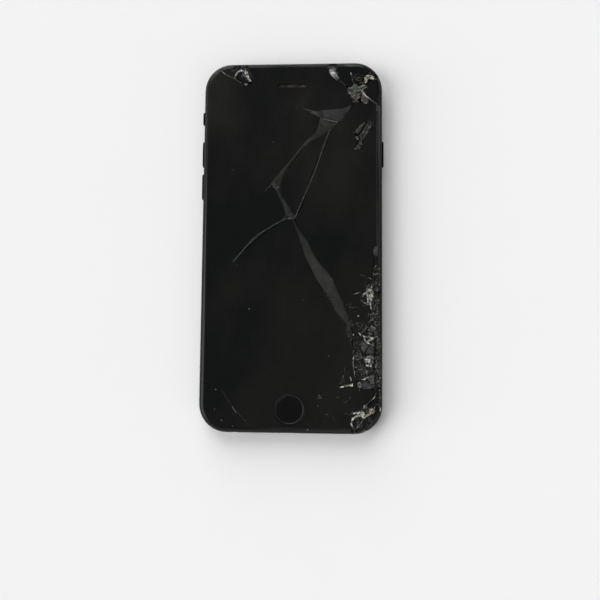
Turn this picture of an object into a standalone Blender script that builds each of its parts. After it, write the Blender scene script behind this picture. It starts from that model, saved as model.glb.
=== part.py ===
"""A touch-screen phone with a shattered front glass, lying on its back.

The origin is on the back face, under the middle of the phone. +Z goes up through the screen, +Y goes
to the end with the earpiece and +X goes to the side with the power button. Lengths are in millimetres,
and become metres where a mesh is made.
"""
import math

import bmesh
import bpy
from mathutils import Matrix, Vector

MM = 0.001

# Body, driving dimensions
BODY_WIDTH = 67.1
BODY_LENGTH = 138.3
BODY_THICKNESS = 7.1
CORNER_RADIUS = 10.4
CORNER_STEPS = 9
HALF_WIDTH = BODY_WIDTH / 2
HALF_LENGTH = BODY_LENGTH / 2
GAP = 0.25

# Rounded side: an ellipse below and a longer one above, which the glass edge carries on
BELLY_LOW = 3.3
BELLY_HIGH = 3.5
BACK_INSET = 2.6
FRONT_INSET = 2.4

# Levels above the back face
BACK_WALL = 0.9
LEDGE_LEVEL = 4.75
RIM_LEVEL = 6.05
GLASS_THICKNESS = 0.8
GLASS_BOTTOM = BODY_THICKNESS - GLASS_THICKNESS
SIDE_WALL = 2.2
RIM_RECESS = 1.5
SIDE_AXIS_LEVEL = 3.4

# How far a cutting helper reaches past what it cuts
CUTTER_REACH = 1.0

# Screen
FRAME_OUTER_INSET = RIM_RECESS + 0.3
FRAME_INNER_INSET = 3.1
FRAME_BOTTOM = 5.35
SEAL_OUTER_INSET = 2.0
SEAL_LEVELS = (4.97, 5.15)
LCD_WIDTH = 58.4
LCD_LENGTH = 106.6
LCD_BOTTOM = 5.05
LCD_CORNER = 0.8
SHIELD_LEVELS = (4.55, 4.78)
SHIELD_INSET = 0.4

# Home button and earpiece
HOME_Y = -60.3
HOME_RING_OUTER = 5.5
HOME_RING_INNER = 4.8
HOME_CAP_RADIUS = 4.6
HOME_BOTTOM = 5.95
HOME_DISH = 0.3
HOME_BRACKET = ((-8.0, -65.2, 5.0), (8.0, -54.4, 5.5))
EARPIECE_Y = 59.7
EARPIECE_WIDTH = 11.3
EARPIECE_HEIGHT = 1.5
EARPIECE_LEVELS = (6.0, 6.75)

# Side keys
KEY_LENGTH = 9.8
KEY_HEIGHT = 2.1
KEY_PROUD = 0.5
KEY_CLEARANCE = 0.25
KEY_INNER_FACE = 31.6
KEY_SOFT_EDGE = 0.18
KEY_BRACKET_LEVELS = (2.0, 4.3)
KEY_BRACKET_GAP = 0.6
KEY_BRACKET_THICKNESS = 0.5
POWER_Y = 34.2
VOLUME_UP_Y = 34.6
VOLUME_DOWN_Y = 22.1
RING_SWITCH_Y = 48.3
RING_SWITCH_LENGTH = 4.9
RING_SWITCH_HEIGHT = 1.6
RING_SWITCH_TRAVEL = 0.9

# SIM tray
TRAY_Y = 11.0
TRAY_LEVEL = 3.4
TRAY_HEAD_LENGTH = 15.0
TRAY_HEAD_HEIGHT = 1.7
TRAY_HEAD_FACES = (1.1, 0.05)
TRAY_DEPTH = 21.0
TRAY_PLATE_SPAN = (-5.4, 6.6)
TRAY_PLATE_HALF = 0.35
TRAY_PIN_OFFSET = 6.3
TRAY_PIN_RADIUS = 0.4
READER_HALF_WIDTH = 7.6
READER_LEVELS = (-0.65, 0.95)
READER_POCKET_HALF = 6.9
READER_POCKET_LEVELS = (-0.47, 0.6)

# Bottom edge
PORT_WIDTH = 8.6
PORT_HEIGHT = 2.8
PORT_WALL = 0.3
PORT_BACK_Y = -61.2
PORT_TONGUE_HALF = (3.1, 0.33)
SCREW_X = 6.6
SCREW_RADIUS = 0.75
SCREW_HOLE_RADIUS = 0.95
SCREW_LENGTH = 4.0
SCREW_RECESS = (0.42, 0.12)
SCREW_RECESS_DEPTH = 0.35
SPEAKER_HOLES = 6
SPEAKER_HOLE_RADIUS = 0.75
SPEAKER_FIRST_X = 9.7
SPEAKER_PITCH = 2.6
HEADPHONE_X = -20.0
HEADPHONE_RADIUS = 1.8
HEADPHONE_HOLE_RADIUS = 1.9
HEADPHONE_BARREL_RADIUS = 2.1
HEADPHONE_BARREL_ENDS = (-65.0, -53.6)
MICROPHONE_X = -10.4
MICROPHONE_RADIUS = 0.5

# Back
CAMERA_X = 24.4
CAMERA_Y = 60.2
CAMERA_RADIUS = 4.6
CAMERA_LENS_RADIUS = 3.5
CAMERA_MODULE_HALF = 4.4
FLASH_X = 15.2
FLASH_RADIUS = 1.75
FLASH_HOLE_RADIUS = 2.0
REAR_MICROPHONE_X = 18.4
REAR_MICROPHONE_RADIUS = 0.4
BAND_WIDTH = 1.2
BAND_SLACK = 0.15
BAND_DEPTH = 0.3
BAND_GROOVE_DEPTH = 0.45
BAND_TOP_Y = 54.0
BAND_BOTTOM_Y = -56.6

# Lens profile: share of the radius and level, from the middle of its back to the middle of its front
LENS_PROFILE = [
    (0.0, 0.8),
    (1.0, 0.8),
    (1.0, 0.12),
    (0.68, 0.12),
    (0.62, 0.22),
    (0.50, 0.22),
    (0.46, 0.42),
    (0.36, 0.42),
    (0.30, 0.28),
    (0.18, 0.20),
    (0.0, 0.17),
]

# Inside, as boxes between two corners
BATTERY = ((-28.5, -48.0, 1.2), (9.8, 47.8, 4.2))
BOARD_SHIELD = ((12.6, 20.2, 2.65), (29.2, 48.2, 4.15))
LOUDSPEAKER = ((8.0, -64.9, 1.2), (28.2, -52.4, 4.3))
PROXIMITY_SENSOR = ((-1.6, 62.9, 4.7), (1.6, 64.5, 5.9))
EARPIECE_SPEAKER = ((-6.0, 56.2, 3.4), (6.0, 62.4, 5.7))
BOARD_LEVELS = (1.6, 2.4)
BOARD_OUTLINE = [(11.2, -31.0), (30.4, -31.0), (30.4, 54.8), (-5.0, 54.8), (-5.0, 49.4), (11.2, 49.4)]
BOARD_BLOCK_LEVELS = (2.1, 3.3)
BOARD_BLOCKS = [
    (13.2, -29.0, 17.6, -25.0),
    (19.0, -29.0, 28.6, -19.0),
    (13.2, -22.5, 17.4, -10.0),
    (19.4, -16.5, 24.6, -4.6),
    (-3.6, 50.6, 3.0, 53.6),
]
MOTOR_PLACE = (-12.2, -59.4)
MOTOR_RADIUS = 4.2
MOTOR_LEVELS = (1.2, 3.9)
FRONT_CAMERA_PLACE = (-9.5, 60.2)
FRONT_CAMERA_RADIUS = 2.2
FRONT_CAMERA_LEVELS = (3.6, 5.9)

# Broken glass: half of the gap kept between two shards, and the heights that cut right through
CRACK_HALF_GAP = 0.1
GLASS_CUT_LEVELS = (5.0, 8.0)
PLATE_OVERLAP = 0.4
TRIANGLE_HOLE = [(17.7, -52.2), (22.6, -52.0), (22.2, -49.0), (20.2, -45.0)]

# Cracks, as points on the glass. A band has a left and a right edge at each step: the left glass slopes
# down from the left edge at its top face to the right edge at its bottom face.
BAND_TO_EDGE = [
    ((0.4, 9.2), (1.3, 9.2)),
    ((1.35, 7.0), (2.2, 7.0)),
    ((1.9, 5.0), (3.5, 5.0)),
    ((3.5, 1.0), (6.15, 1.0)),
    ((4.8, -3.0), (8.0, -3.0)),
    ((5.4, -5.0), (9.15, -5.0)),
    ((6.5, -7.0), (10.6, -6.9)),
    ((7.5, -9.0), (12.5, -9.1)),
    ((9.4, -13.0), (15.6, -13.0)),
    ((11.0, -15.0), (16.1, -14.8)),
    ((13.8, -19.0), (17.9, -18.8)),
    ((16.0, -23.0), (19.8, -22.9)),
    ((17.1, -25.0), (20.4, -24.8)),
    ((18.8, -27.0), (21.5, -26.8)),
    ((20.2, -29.0), (21.9, -29.0)),
    ((21.5, -31.0), (22.5, -31.0)),
    ((21.9, -33.3), (23.2, -33.4)),
]
BAND_MIDDLE_LEFT = [
    ((8.5, 41.3), (12.2, 41.4)),
    ((7.0, 39.9), (10.2, 40.0)),
    ((4.6, 37.7), (6.9, 38.0)),
    ((2.0, 34.4), (3.5, 34.6)),
    ((-1.25, 30.1), (0.1, 30.3)),
    ((-3.4, 27.8), (-1.4, 28.2)),
    ((-4.8, 26.1), (-2.7, 26.2)),
    ((-6.5, 24.1), (-3.7, 24.2)),
    ((-7.6, 22.5), (-4.1, 22.0)),
]
BAND_TAIL_TIP = (-10.0, 19.3)
BAND_MIDDLE_LOW = [
    ((-7.3, 21.9), (-4.15, 21.75)),
    ((-5.6, 19.9), (-4.1, 19.8)),
    ((-4.7, 17.9), (-3.4, 18.0)),
    ((-3.7, 15.9), (-2.1, 16.1)),
    ((-2.8, 13.9), (-0.8, 14.0)),
    ((-2.1, 11.4), (0.5, 11.2)),
]
CRACK_MIDDLE_RIGHT = [
    ((12.9, 41.7), (13.8, 42.3)),
    ((11.9, 38.0), (12.8, 38.0)),
    ((10.1, 34.0), (11.2, 34.0)),
    ((8.6, 30.0), (9.5, 30.0)),
    ((7.2, 26.0), (8.0, 26.0)),
    ((5.0, 20.0), (5.8, 20.0)),
    ((3.0, 14.0), (3.9, 14.0)),
    ((1.7, 11.6), (2.4, 11.0)),
]
FACET_TOP = [
    ((22.2, 51.7), (22.5, 51.5)),
    ((18.6, 50.5), (20.9, 49.7)),
    ((14.4, 50.2), (19.4, 47.6)),
    ((11.0, 50.0), (17.8, 45.75)),
]
FACET_LOW = [
    ((10.4, 47.3), (17.5, 45.25)),
    ((10.2, 45.0), (15.9, 44.0)),
    ((9.6, 43.2), (13.7, 42.3)),
]
CRACK_TOP_UPPER = [((9.0, 49.5), (10.4, 47.05)), ((5.0, 50.6), (5.2, 49.6))]
CRACK_TOP_LOWER = [((4.9, 49.9), (5.1, 49.3)), ((8.5, 48.2), (10.4, 46.75))]
CRACK_TOP_TIP = (0.8, 52.0)
CRACK_LEFT_UPPER = [
    ((-2.1, 10.2), (0.2, 10.5)),
    ((-8.0, 6.3), (-7.9, 5.7)),
    ((-11.4, 4.2), (-11.0, 3.3)),
    ((-14.2, 1.8), (-13.6, 0.8)),
    ((-17.7, -2.1), (-17.3, -2.5)),
]
CRACK_LEFT_LOWER = [
    ((-17.5, -2.9), (-17.6, -2.7)),
    ((-13.6, 0.5), (-13.8, 0.5)),
    ((-11.0, 3.0), (-11.2, 3.0)),
    ((-8.0, 5.5), (-8.1, 5.4)),
    ((-1.7, 9.2), (0.3, 10.4)),
]
CRACK_LEFT_TIP = (-22.2, -7.5)

# Plain cracks shared by the shards on their two sides
CORNER_SEAM = [(13.7, 69.6), (13.8, 65.1), (14.3, 63.2), (16.2, 61.4), (17.4, 61.6), (20.3, 58.7)]
LUMP_LEFT_SEAM = [(20.3, 58.7), (21.3, 55.4), (22.4, 53.9), (22.3, 51.9)]
SIDE_SEAM = [(28.6, 54.4), (30.4, 53.3), (31.5, 52.2), (34.0, 51.4)]
LUMP_LOW_SEAM = [
    (22.5, 51.8), (23.4, 53.9), (24.8, 53.5), (26.3, 52.2), (27.5, 51.9), (28.8, 53.0), (28.6, 54.4),
]
STRIP_SEAM = [
    (34.0, -0.6),
    (31.4, -1.3),
    (30.2, -4.6),
    (29.9, -9.0),
    (29.0, -13.2),
    (27.6, -16.8),
    (28.3, -20.2),
    (29.0, -23.8),
    (28.4, -27.0),
    (28.1, -30.2),
]
FLAKE_TOP_SEAM = [(28.1, -30.2), (26.4, -31.7), (24.8, -32.6), (23.2, -33.6)]
MAIN_LOWER_SEAM = [
    (21.9, -33.3),
    (21.7, -36.2),
    (22.9, -38.8),
    (22.8, -42.0),
    (23.2, -46.0),
    (24.0, -51.8),
    (24.9, -52.7),
    (30.9, -52.9),
]
BOTTOM_CORNER_SEAM = [
    (30.9, -52.9),
    (31.0, -55.2),
    (28.3, -57.7),
    (26.6, -60.2),
    (24.3, -62.2),
    (22.4, -64.0),
    (22.1, -66.0),
    (22.6, -69.6),
]
TOP_LEFT_SEAM = [
    (-28.9, 69.6),
    (-27.4, 66.2),
    (-25.2, 64.6),
    (-21.6, 62.5),
    (-18.9, 60.9),
    (-17.2, 60.2),
    (-15.4, 60.9),
    (-16.0, 62.6),
    (-17.2, 65.0),
    (-17.0, 69.6),
]
HAIRLINE_WIDTH = 0.35
HAIRLINE_DEPTH = 0.3
BOTTOM_LEFT_HAIRLINE = [(-25.3, -52.3), (-23.0, -56.3), (-20.2, -60.4), (-17.5, -63.0), (-15.0, -65.8)]


def clear_scene():
    """Remove every object that the file was opened with."""
    for obj in list(bpy.data.objects):
        bpy.data.objects.remove(obj, do_unlink=True)


def make_material(name, color, roughness, metallic=0.0):
    """Return a Principled material with one plain finish."""
    material = bpy.data.materials.new(name)
    material.use_nodes = True
    shader = material.node_tree.nodes["Principled BSDF"]
    shader.inputs["Base Color"].default_value = (*color, 1.0)
    shader.inputs["Roughness"].default_value = roughness
    shader.inputs["Metallic"].default_value = metallic
    material.diffuse_color = (*color, 1.0)
    return material


def finish(bm, name, material, origin=(0.0, 0.0, 0.0)):
    """Turn a millimetre bmesh into a named object in metres, with its origin at the given point."""
    bmesh.ops.recalc_face_normals(bm, faces=bm.faces)
    bmesh.ops.translate(bm, verts=bm.verts, vec=-Vector(origin))
    bmesh.ops.scale(bm, verts=bm.verts, vec=(MM, MM, MM))
    mesh = bpy.data.meshes.new(name)
    bm.to_mesh(mesh)
    bm.free()
    obj = bpy.data.objects.new(name, mesh)
    obj.location = Vector(origin) * MM
    bpy.context.scene.collection.objects.link(obj)
    if material:
        mesh.materials.append(material)
        mesh.shade_smooth()
        mesh.set_sharp_from_angle(angle=math.radians(32))
    else:
        obj.display_type = "WIRE"
        obj.hide_render = True
    return obj


def boolean(obj, other, operation):
    """Add an exact Boolean with a hidden helper object."""
    modifier = obj.modifiers.new(f"{operation.title()} {other.name}", "BOOLEAN")
    modifier.operation = operation
    modifier.solver = "EXACT"
    modifier.object = other
    return modifier


def rounded_outline(half_x, half_y, radius, steps=CORNER_STEPS, centre=(0.0, 0.0)):
    """Points round a rectangle with round corners, anticlockwise."""
    points = []
    for sign_x, sign_y, start in ((1, 1, 0), (-1, 1, 90), (-1, -1, 180), (1, -1, 270)):
        corner_x = centre[0] + sign_x * (half_x - radius)
        corner_y = centre[1] + sign_y * (half_y - radius)
        for step in range(steps + 1):
            angle = math.radians(start + 90 * step / steps)
            points.append((corner_x + radius * math.cos(angle), corner_y + radius * math.sin(angle)))
    return points


def loft(bm, rings):
    """Close a skin over rings of equal length, from the first to the last."""
    loops = [[bm.verts.new(point) for point in ring] for ring in rings]
    bm.faces.new(reversed(loops[0]))
    bm.faces.new(loops[-1])
    for low, high in zip(loops, loops[1:]):
        for index in range(len(low)):
            following = (index + 1) % len(low)
            bm.faces.new((low[index], low[following], high[following], high[index]))
    return bm


def at_level(points, level):
    """Put flat points at one height."""
    return [(x, y, level) for x, y in points]


def add_slab(bm, points, low, high):
    """Extrude a flat outline from one height to another."""
    face = bm.faces.new([bm.verts.new((x, y, low)) for x, y in points])
    grown = bmesh.ops.extrude_face_region(bm, geom=[face])
    top = [item for item in grown["geom"] if isinstance(item, bmesh.types.BMVert)]
    bmesh.ops.translate(bm, verts=top, vec=(0.0, 0.0, high - low))
    return bm


def add_box(bm, low, high, bevel=0.0, segments=2):
    """Add a box between two corners, with its edges rounded."""
    made = bmesh.ops.create_cube(bm, size=1.0)["verts"]
    size = [high[axis] - low[axis] for axis in range(3)]
    middle = [(high[axis] + low[axis]) / 2 for axis in range(3)]
    bmesh.ops.scale(bm, verts=made, vec=size)
    bmesh.ops.translate(bm, verts=made, vec=middle)
    if bevel:
        edges = list({edge for vert in made for edge in vert.link_edges})
        bmesh.ops.bevel(
            bm, geom=edges, offset=bevel, segments=segments, profile=0.5, affect="EDGES", material=-1
        )
    return bm


def add_rod(bm, start, end, radius, sides=16):
    """Add a cylinder between two points."""
    start = Vector(start)
    along = Vector(end) - start
    turn = Vector((0.0, 0.0, 1.0)).rotation_difference(along).to_matrix().to_4x4()
    place = Matrix.Translation(start + along / 2) @ turn
    bmesh.ops.create_cone(
        bm, cap_ends=True, segments=sides, radius1=radius, radius2=radius, depth=along.length, matrix=place
    )
    return bm


def capsule_outline(length, height, steps=8, centre=(0.0, 0.0)):
    """Points round a bar with two half-round ends, anticlockwise."""
    points = []
    for side, start in ((1, -90), (-1, 90)):
        for step in range(steps + 1):
            angle = math.radians(start + 180 * step / steps)
            u = side * (length - height) / 2 + height / 2 * math.cos(angle)
            points.append((centre[0] + u, centre[1] + height / 2 * math.sin(angle)))
    return points


def add_capsule(bm, centre, length, height, depth_from, depth_to, along="Y", steps=8):
    """Add a bar with round ends, extruded along X (or along Y, where its length runs along X)."""
    rings = []
    for depth in (depth_from, depth_to):
        ring = []
        for u, v in capsule_outline(length, height, steps, centre):
            ring.append((depth, u, v) if along == "Y" else (u, depth, v))
        rings.append(ring)
    return loft(bm, rings)


def shrink(points, distance):
    """Move every edge of an anticlockwise outline inwards, with the longest corners cut short."""
    moved = []
    count = len(points)
    for index in range(count):
        here = Vector(points[index])
        before = (here - Vector(points[index - 1])).normalized()
        after = (Vector(points[(index + 1) % count]) - here).normalized()
        normal_before = Vector((-before.y, before.x))
        normal_after = Vector((-after.y, after.x))
        sum_normal = normal_before + normal_after
        if sum_normal.length < 0.3:
            sum_normal = normal_before - before
        mitre = sum_normal.normalized()
        reach = min(distance / max(mitre.dot(normal_before), 0.35), 2.5 * distance)
        moved.append(tuple(here + mitre * reach))
    return moved


def body_inset(level):
    """How far the rounded side lies inside the body's outline at one height."""
    if level < BELLY_LOW:
        rise = (BELLY_LOW - level) / BELLY_LOW
        return BACK_INSET * (1 - math.sqrt(1 - rise * rise))
    if level > BELLY_HIGH:
        rise = (level - BELLY_HIGH) / (BODY_THICKNESS - BELLY_HIGH)
        return FRONT_INSET * (1 - math.sqrt(max(0.0, 1 - rise * rise)))
    return 0.0


def inset_outline(inset):
    """The body's outline, moved inwards."""
    return rounded_outline(HALF_WIDTH - inset, HALF_LENGTH - inset, CORNER_RADIUS - inset)


def body_ring(level):
    """The rounded body's outline at one height."""
    return at_level(inset_outline(body_inset(level)), level)


def ring_plate(bm, outer_inset, inner_inset, low, high):
    """Add a flat frame that follows the body's outline."""
    outer = inset_outline(outer_inset)
    inner = inset_outline(inner_inset)
    corners = []
    for points, level in ((outer, low), (outer, high), (inner, high), (inner, low)):
        corners.append([bm.verts.new((x, y, level)) for x, y in points])
    for first, second in zip(corners, corners[1:] + corners[:1]):
        for index in range(len(first)):
            following = (index + 1) % len(first)
            bm.faces.new((first[index], first[following], second[following], second[index]))
    return bm


def lathe(profile, sides=40):
    """Turn a closed profile of (radius, height) points round the Z axis."""
    bm = bmesh.new()
    verts = [bm.verts.new((radius, 0.0, height)) for radius, height in profile]
    pairs = list(zip(verts, verts[1:] + verts[:1]))
    edges = [bm.edges.new(pair) for pair in pairs if pair[0].co.x > 0 or pair[1].co.x > 0]
    bmesh.ops.spin(
        bm, geom=verts + edges, cent=(0, 0, 0), axis=(0, 0, 1), angle=math.tau, steps=sides, use_merge=True
    )
    bmesh.ops.remove_doubles(bm, verts=bm.verts, dist=0.0001)
    return bm


def make_materials():
    """All finishes, by name."""
    return {
        "housing": make_material("black_anodised_metal", (0.012, 0.012, 0.013), 0.35, 0.8),
        "glass": make_material("black_screen_glass", (0.006, 0.007, 0.008), 0.06),
        "splinter": make_material("crushed_glass", (0.55, 0.56, 0.54), 0.35),
        "plastic": make_material("black_plastic", (0.02, 0.02, 0.021), 0.5),
        "band": make_material("dark_antenna_plastic", (0.03, 0.03, 0.032), 0.55),
        "key": make_material("black_key_metal", (0.015, 0.015, 0.016), 0.3, 0.8),
        "steel": make_material("bright_steel", (0.55, 0.55, 0.56), 0.3, 1.0),
        "board": make_material("circuit_board", (0.01, 0.035, 0.02), 0.5),
        "battery": make_material("battery_wrap", (0.03, 0.03, 0.033), 0.45),
        "seal": make_material("black_seal_foam", (0.01, 0.01, 0.01), 0.8),
        "lens": make_material("dark_lens_glass", (0.01, 0.01, 0.015), 0.03),
        "mesh": make_material("earpiece_mesh", (0.09, 0.075, 0.05), 0.45, 0.6),
        "ring": make_material("dark_ring_metal", (0.06, 0.062, 0.066), 0.3, 0.8),
        "flash": make_material("flash_lens", (0.75, 0.7, 0.45), 0.2),
    }


def bottom_edge_cutter():
    """Port, headphone hole, microphone hole, speaker holes and screw holes in the bottom side."""
    outside = -HALF_LENGTH - CUTTER_REACH
    inside = -HALF_LENGTH + SIDE_WALL + CUTTER_REACH
    bm = bmesh.new()
    add_capsule(bm, (0.0, SIDE_AXIS_LEVEL), PORT_WIDTH, PORT_HEIGHT, outside, inside, along="X")
    holes = [(HEADPHONE_X, HEADPHONE_HOLE_RADIUS, 20), (MICROPHONE_X, MICROPHONE_RADIUS, 10)]
    for side in (-1, 1):
        holes.append((side * SCREW_X, SCREW_HOLE_RADIUS, 14))
    for index in range(SPEAKER_HOLES):
        holes.append((SPEAKER_FIRST_X + SPEAKER_PITCH * index, SPEAKER_HOLE_RADIUS, 12))
    for x, radius, sides in holes:
        add_rod(bm, (x, outside, SIDE_AXIS_LEVEL), (x, inside, SIDE_AXIS_LEVEL), radius, sides)
    return finish(bm, "bottom_edge_cutter", None)


def side_cutter():
    """Slots for the keys, the ring switch and the SIM tray."""
    slack = 2 * KEY_CLEARANCE
    outer = HALF_WIDTH + CUTTER_REACH
    inner = HALF_WIDTH - SIDE_WALL - CUTTER_REACH
    bm = bmesh.new()
    for y, side in ((POWER_Y, 1), (VOLUME_UP_Y, -1), (VOLUME_DOWN_Y, -1)):
        add_capsule(
            bm, (y, SIDE_AXIS_LEVEL), KEY_LENGTH + slack, KEY_HEIGHT + slack, side * inner, side * outer
        )
    switch_height = RING_SWITCH_HEIGHT + RING_SWITCH_TRAVEL + slack
    add_capsule(
        bm, (RING_SWITCH_Y, SIDE_AXIS_LEVEL), RING_SWITCH_LENGTH + slack, switch_height, -inner, -outer
    )
    add_capsule(
        bm, (TRAY_Y, TRAY_LEVEL), TRAY_HEAD_LENGTH + slack, TRAY_HEAD_HEIGHT + slack, inner, outer
    )
    return finish(bm, "side_cutter", None)


def back_cutter():
    """Camera, flash and rear microphone holes."""
    bm = bmesh.new()
    low = -CUTTER_REACH
    high = BACK_WALL + 0.2
    holes = (
        (CAMERA_X, CAMERA_RADIUS + GAP, 32),
        (FLASH_X, FLASH_HOLE_RADIUS, 20),
        (REAR_MICROPHONE_X, REAR_MICROPHONE_RADIUS, 10),
    )
    for x, radius, sides in holes:
        add_rod(bm, (x, CAMERA_Y, low), (x, CAMERA_Y, high), radius, sides)
    return finish(bm, "back_cutter", None)


def build_housing(finishes):
    """The hollow metal shell: rounded outside, ledge for the screen, slots and holes."""
    outside_levels = [0.0, 0.1, 0.35, 0.8, 1.45, 2.3, BELLY_LOW, BELLY_HIGH, 4.4, 5.2, 5.7, RIM_LEVEL]
    rings = [body_ring(level) for level in outside_levels]
    inside = (
        (RIM_RECESS, RIM_LEVEL),
        (RIM_RECESS, LEDGE_LEVEL),
        (SIDE_WALL, LEDGE_LEVEL),
        (SIDE_WALL, BACK_WALL + 0.5),
        (SIDE_WALL + 0.5, BACK_WALL),
    )
    for inset, level in inside:
        rings.append(at_level(inset_outline(inset), level))
    housing = finish(loft(bmesh.new(), rings), "rear_housing", finishes["housing"])
    for cutter in (bottom_edge_cutter(), side_cutter(), back_cutter()):
        boolean(housing, cutter, "DIFFERENCE")
    return housing


def build_antenna_bands(housing, finishes):
    """Two plastic strips let into grooves across the back."""
    across = HALF_WIDTH + CUTTER_REACH
    half = BAND_WIDTH / 2
    wide = half + BAND_SLACK
    for name, y in (("antenna_band_top", BAND_TOP_Y), ("antenna_band_bottom", BAND_BOTTOM_Y)):
        bm = add_box(bmesh.new(), (-across, y - wide, -CUTTER_REACH), (across, y + wide, BAND_GROOVE_DEPTH))
        boolean(housing, finish(bm, f"{name}_groove", None), "DIFFERENCE")
        rings = [body_ring(level) for level in (0.0, 0.1, 0.25, 0.32)]
        blank = finish(loft(bmesh.new(), rings), f"{name}_blank", None)
        bm = add_box(bmesh.new(), (-across, y - half, -CUTTER_REACH), (across, y + half, BAND_DEPTH))
        boolean(finish(bm, name, finishes["band"]), blank, "INTERSECT")


def build_keys(finishes):
    """Power key, volume keys and the ring switch, each with its origin on its own axis of travel."""
    outer = HALF_WIDTH + KEY_PROUD
    keys = (
        ("power_button", POWER_Y, 1),
        ("volume_up_button", VOLUME_UP_Y, -1),
        ("volume_down_button", VOLUME_DOWN_Y, -1),
    )
    for name, y, side in keys:
        bm = add_capsule(
            bmesh.new(), (y, SIDE_AXIS_LEVEL), KEY_LENGTH, KEY_HEIGHT, side * KEY_INNER_FACE, side * outer
        )
        soften_end(bm, side)
        finish(bm, name, finishes["key"], origin=(side * HALF_WIDTH, y, SIDE_AXIS_LEVEL))
    level = SIDE_AXIS_LEVEL + RING_SWITCH_TRAVEL / 2
    bm = add_capsule(
        bmesh.new(), (RING_SWITCH_Y, level), RING_SWITCH_LENGTH, RING_SWITCH_HEIGHT, -KEY_INNER_FACE, -outer
    )
    soften_end(bm, -1)
    finish(bm, "ring_switch", finishes["key"], origin=(-HALF_WIDTH, RING_SWITCH_Y, level))
    outer_face = KEY_INNER_FACE - KEY_BRACKET_GAP
    low, high = KEY_BRACKET_LEVELS
    spans = (
        ("side_key_bracket_right", 1, POWER_Y - 8, POWER_Y + 8),
        ("side_key_bracket_left", -1, VOLUME_DOWN_Y - 7, RING_SWITCH_Y + 4),
    )
    for name, side, start, end in spans:
        near, far = sorted((side * outer_face, side * (outer_face - KEY_BRACKET_THICKNESS)))
        bm = add_box(bmesh.new(), (near, start, low), (far, end, high), bevel=0.12)
        finish(bm, name, finishes["steel"])


def soften_end(bm, side):
    """Round the edge of a key's outer face."""
    face = max(bm.faces, key=lambda item: side * item.calc_center_median().x)
    bmesh.ops.bevel(
        bm,
        geom=list(face.edges),
        offset=KEY_SOFT_EDGE,
        segments=2,
        profile=0.5,
        affect="EDGES",
        material=-1,
    )

def build_sim(finishes):
    """The tray with its head, card window and pin hole, and the cage that it slides into."""
    head_in, head_out = (HALF_WIDTH - inset for inset in TRAY_HEAD_FACES)
    tray_end = head_in - TRAY_DEPTH
    centre = (TRAY_Y, TRAY_LEVEL)
    bm = add_capsule(bmesh.new(), centre, TRAY_HEAD_LENGTH, TRAY_HEAD_HEIGHT, head_in, head_out)
    tray = finish(bm, "sim_tray", finishes["key"], origin=(HALF_WIDTH, TRAY_Y, TRAY_LEVEL))
    bm = add_box(
        bmesh.new(),
        (tray_end, TRAY_Y + TRAY_PLATE_SPAN[0], TRAY_LEVEL - TRAY_PLATE_HALF),
        (head_in + 0.3, TRAY_Y + TRAY_PLATE_SPAN[1], TRAY_LEVEL + TRAY_PLATE_HALF),
    )
    boolean(tray, finish(bm, "sim_tray_plate", None), "UNION")
    bm = bmesh.new()
    window = (head_in - TRAY_DEPTH / 2 - 1.0, TRAY_Y + sum(TRAY_PLATE_SPAN) / 2)
    add_slab(bm, rounded_outline(7.0, 4.9, 0.8, 2, window), TRAY_LEVEL - 1, TRAY_LEVEL + 1)
    pin_y = TRAY_Y - TRAY_PIN_OFFSET
    pin_ends = (head_in - 0.5, HALF_WIDTH + CUTTER_REACH)
    add_rod(bm, (pin_ends[0], pin_y, TRAY_LEVEL), (pin_ends[1], pin_y, TRAY_LEVEL), TRAY_PIN_RADIUS, 12)
    boolean(tray, finish(bm, "sim_tray_cutter", None), "DIFFERENCE")
    left = tray_end - 0.9
    right = HALF_WIDTH - SIDE_WALL - 1.0
    bm = add_box(
        bmesh.new(),
        (left, TRAY_Y - READER_HALF_WIDTH, TRAY_LEVEL + READER_LEVELS[0]),
        (right, TRAY_Y + READER_HALF_WIDTH, TRAY_LEVEL + READER_LEVELS[1]),
        bevel=0.1,
    )
    reader = finish(bm, "sim_reader", finishes["steel"])
    bm = add_box(
        bmesh.new(),
        (left + 0.5, TRAY_Y - READER_POCKET_HALF, TRAY_LEVEL + READER_POCKET_LEVELS[0]),
        (right + 1, TRAY_Y + READER_POCKET_HALF, TRAY_LEVEL + READER_POCKET_LEVELS[1]),
    )
    boolean(reader, finish(bm, "sim_reader_pocket", None), "DIFFERENCE")


def build_port(finishes):
    """Charge port: a steel sleeve with a tongue inside."""
    inset = 0.2
    front = -HALF_LENGTH + 0.7
    centre = (0.0, SIDE_AXIS_LEVEL)
    width = PORT_WIDTH - 2 * inset
    height = PORT_HEIGHT - 2 * inset
    bm = add_capsule(bmesh.new(), centre, width, height, front, PORT_BACK_Y, along="X")
    sleeve = finish(bm, "charge_port_shell", finishes["steel"])
    pocket = (width - 2 * PORT_WALL, height - 2 * PORT_WALL)
    bm = add_capsule(bmesh.new(), centre, *pocket, front - 1, PORT_BACK_Y - 0.5, along="X")
    boolean(sleeve, finish(bm, "charge_port_pocket", None), "DIFFERENCE")
    half_width, half_height = PORT_TONGUE_HALF
    bm = add_box(
        bmesh.new(),
        (-half_width, front + 0.5, SIDE_AXIS_LEVEL - half_height),
        (half_width, PORT_BACK_Y - 0.75, SIDE_AXIS_LEVEL + half_height),
        bevel=0.1,
    )
    finish(bm, "charge_port_tongue", finishes["plastic"])


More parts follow.
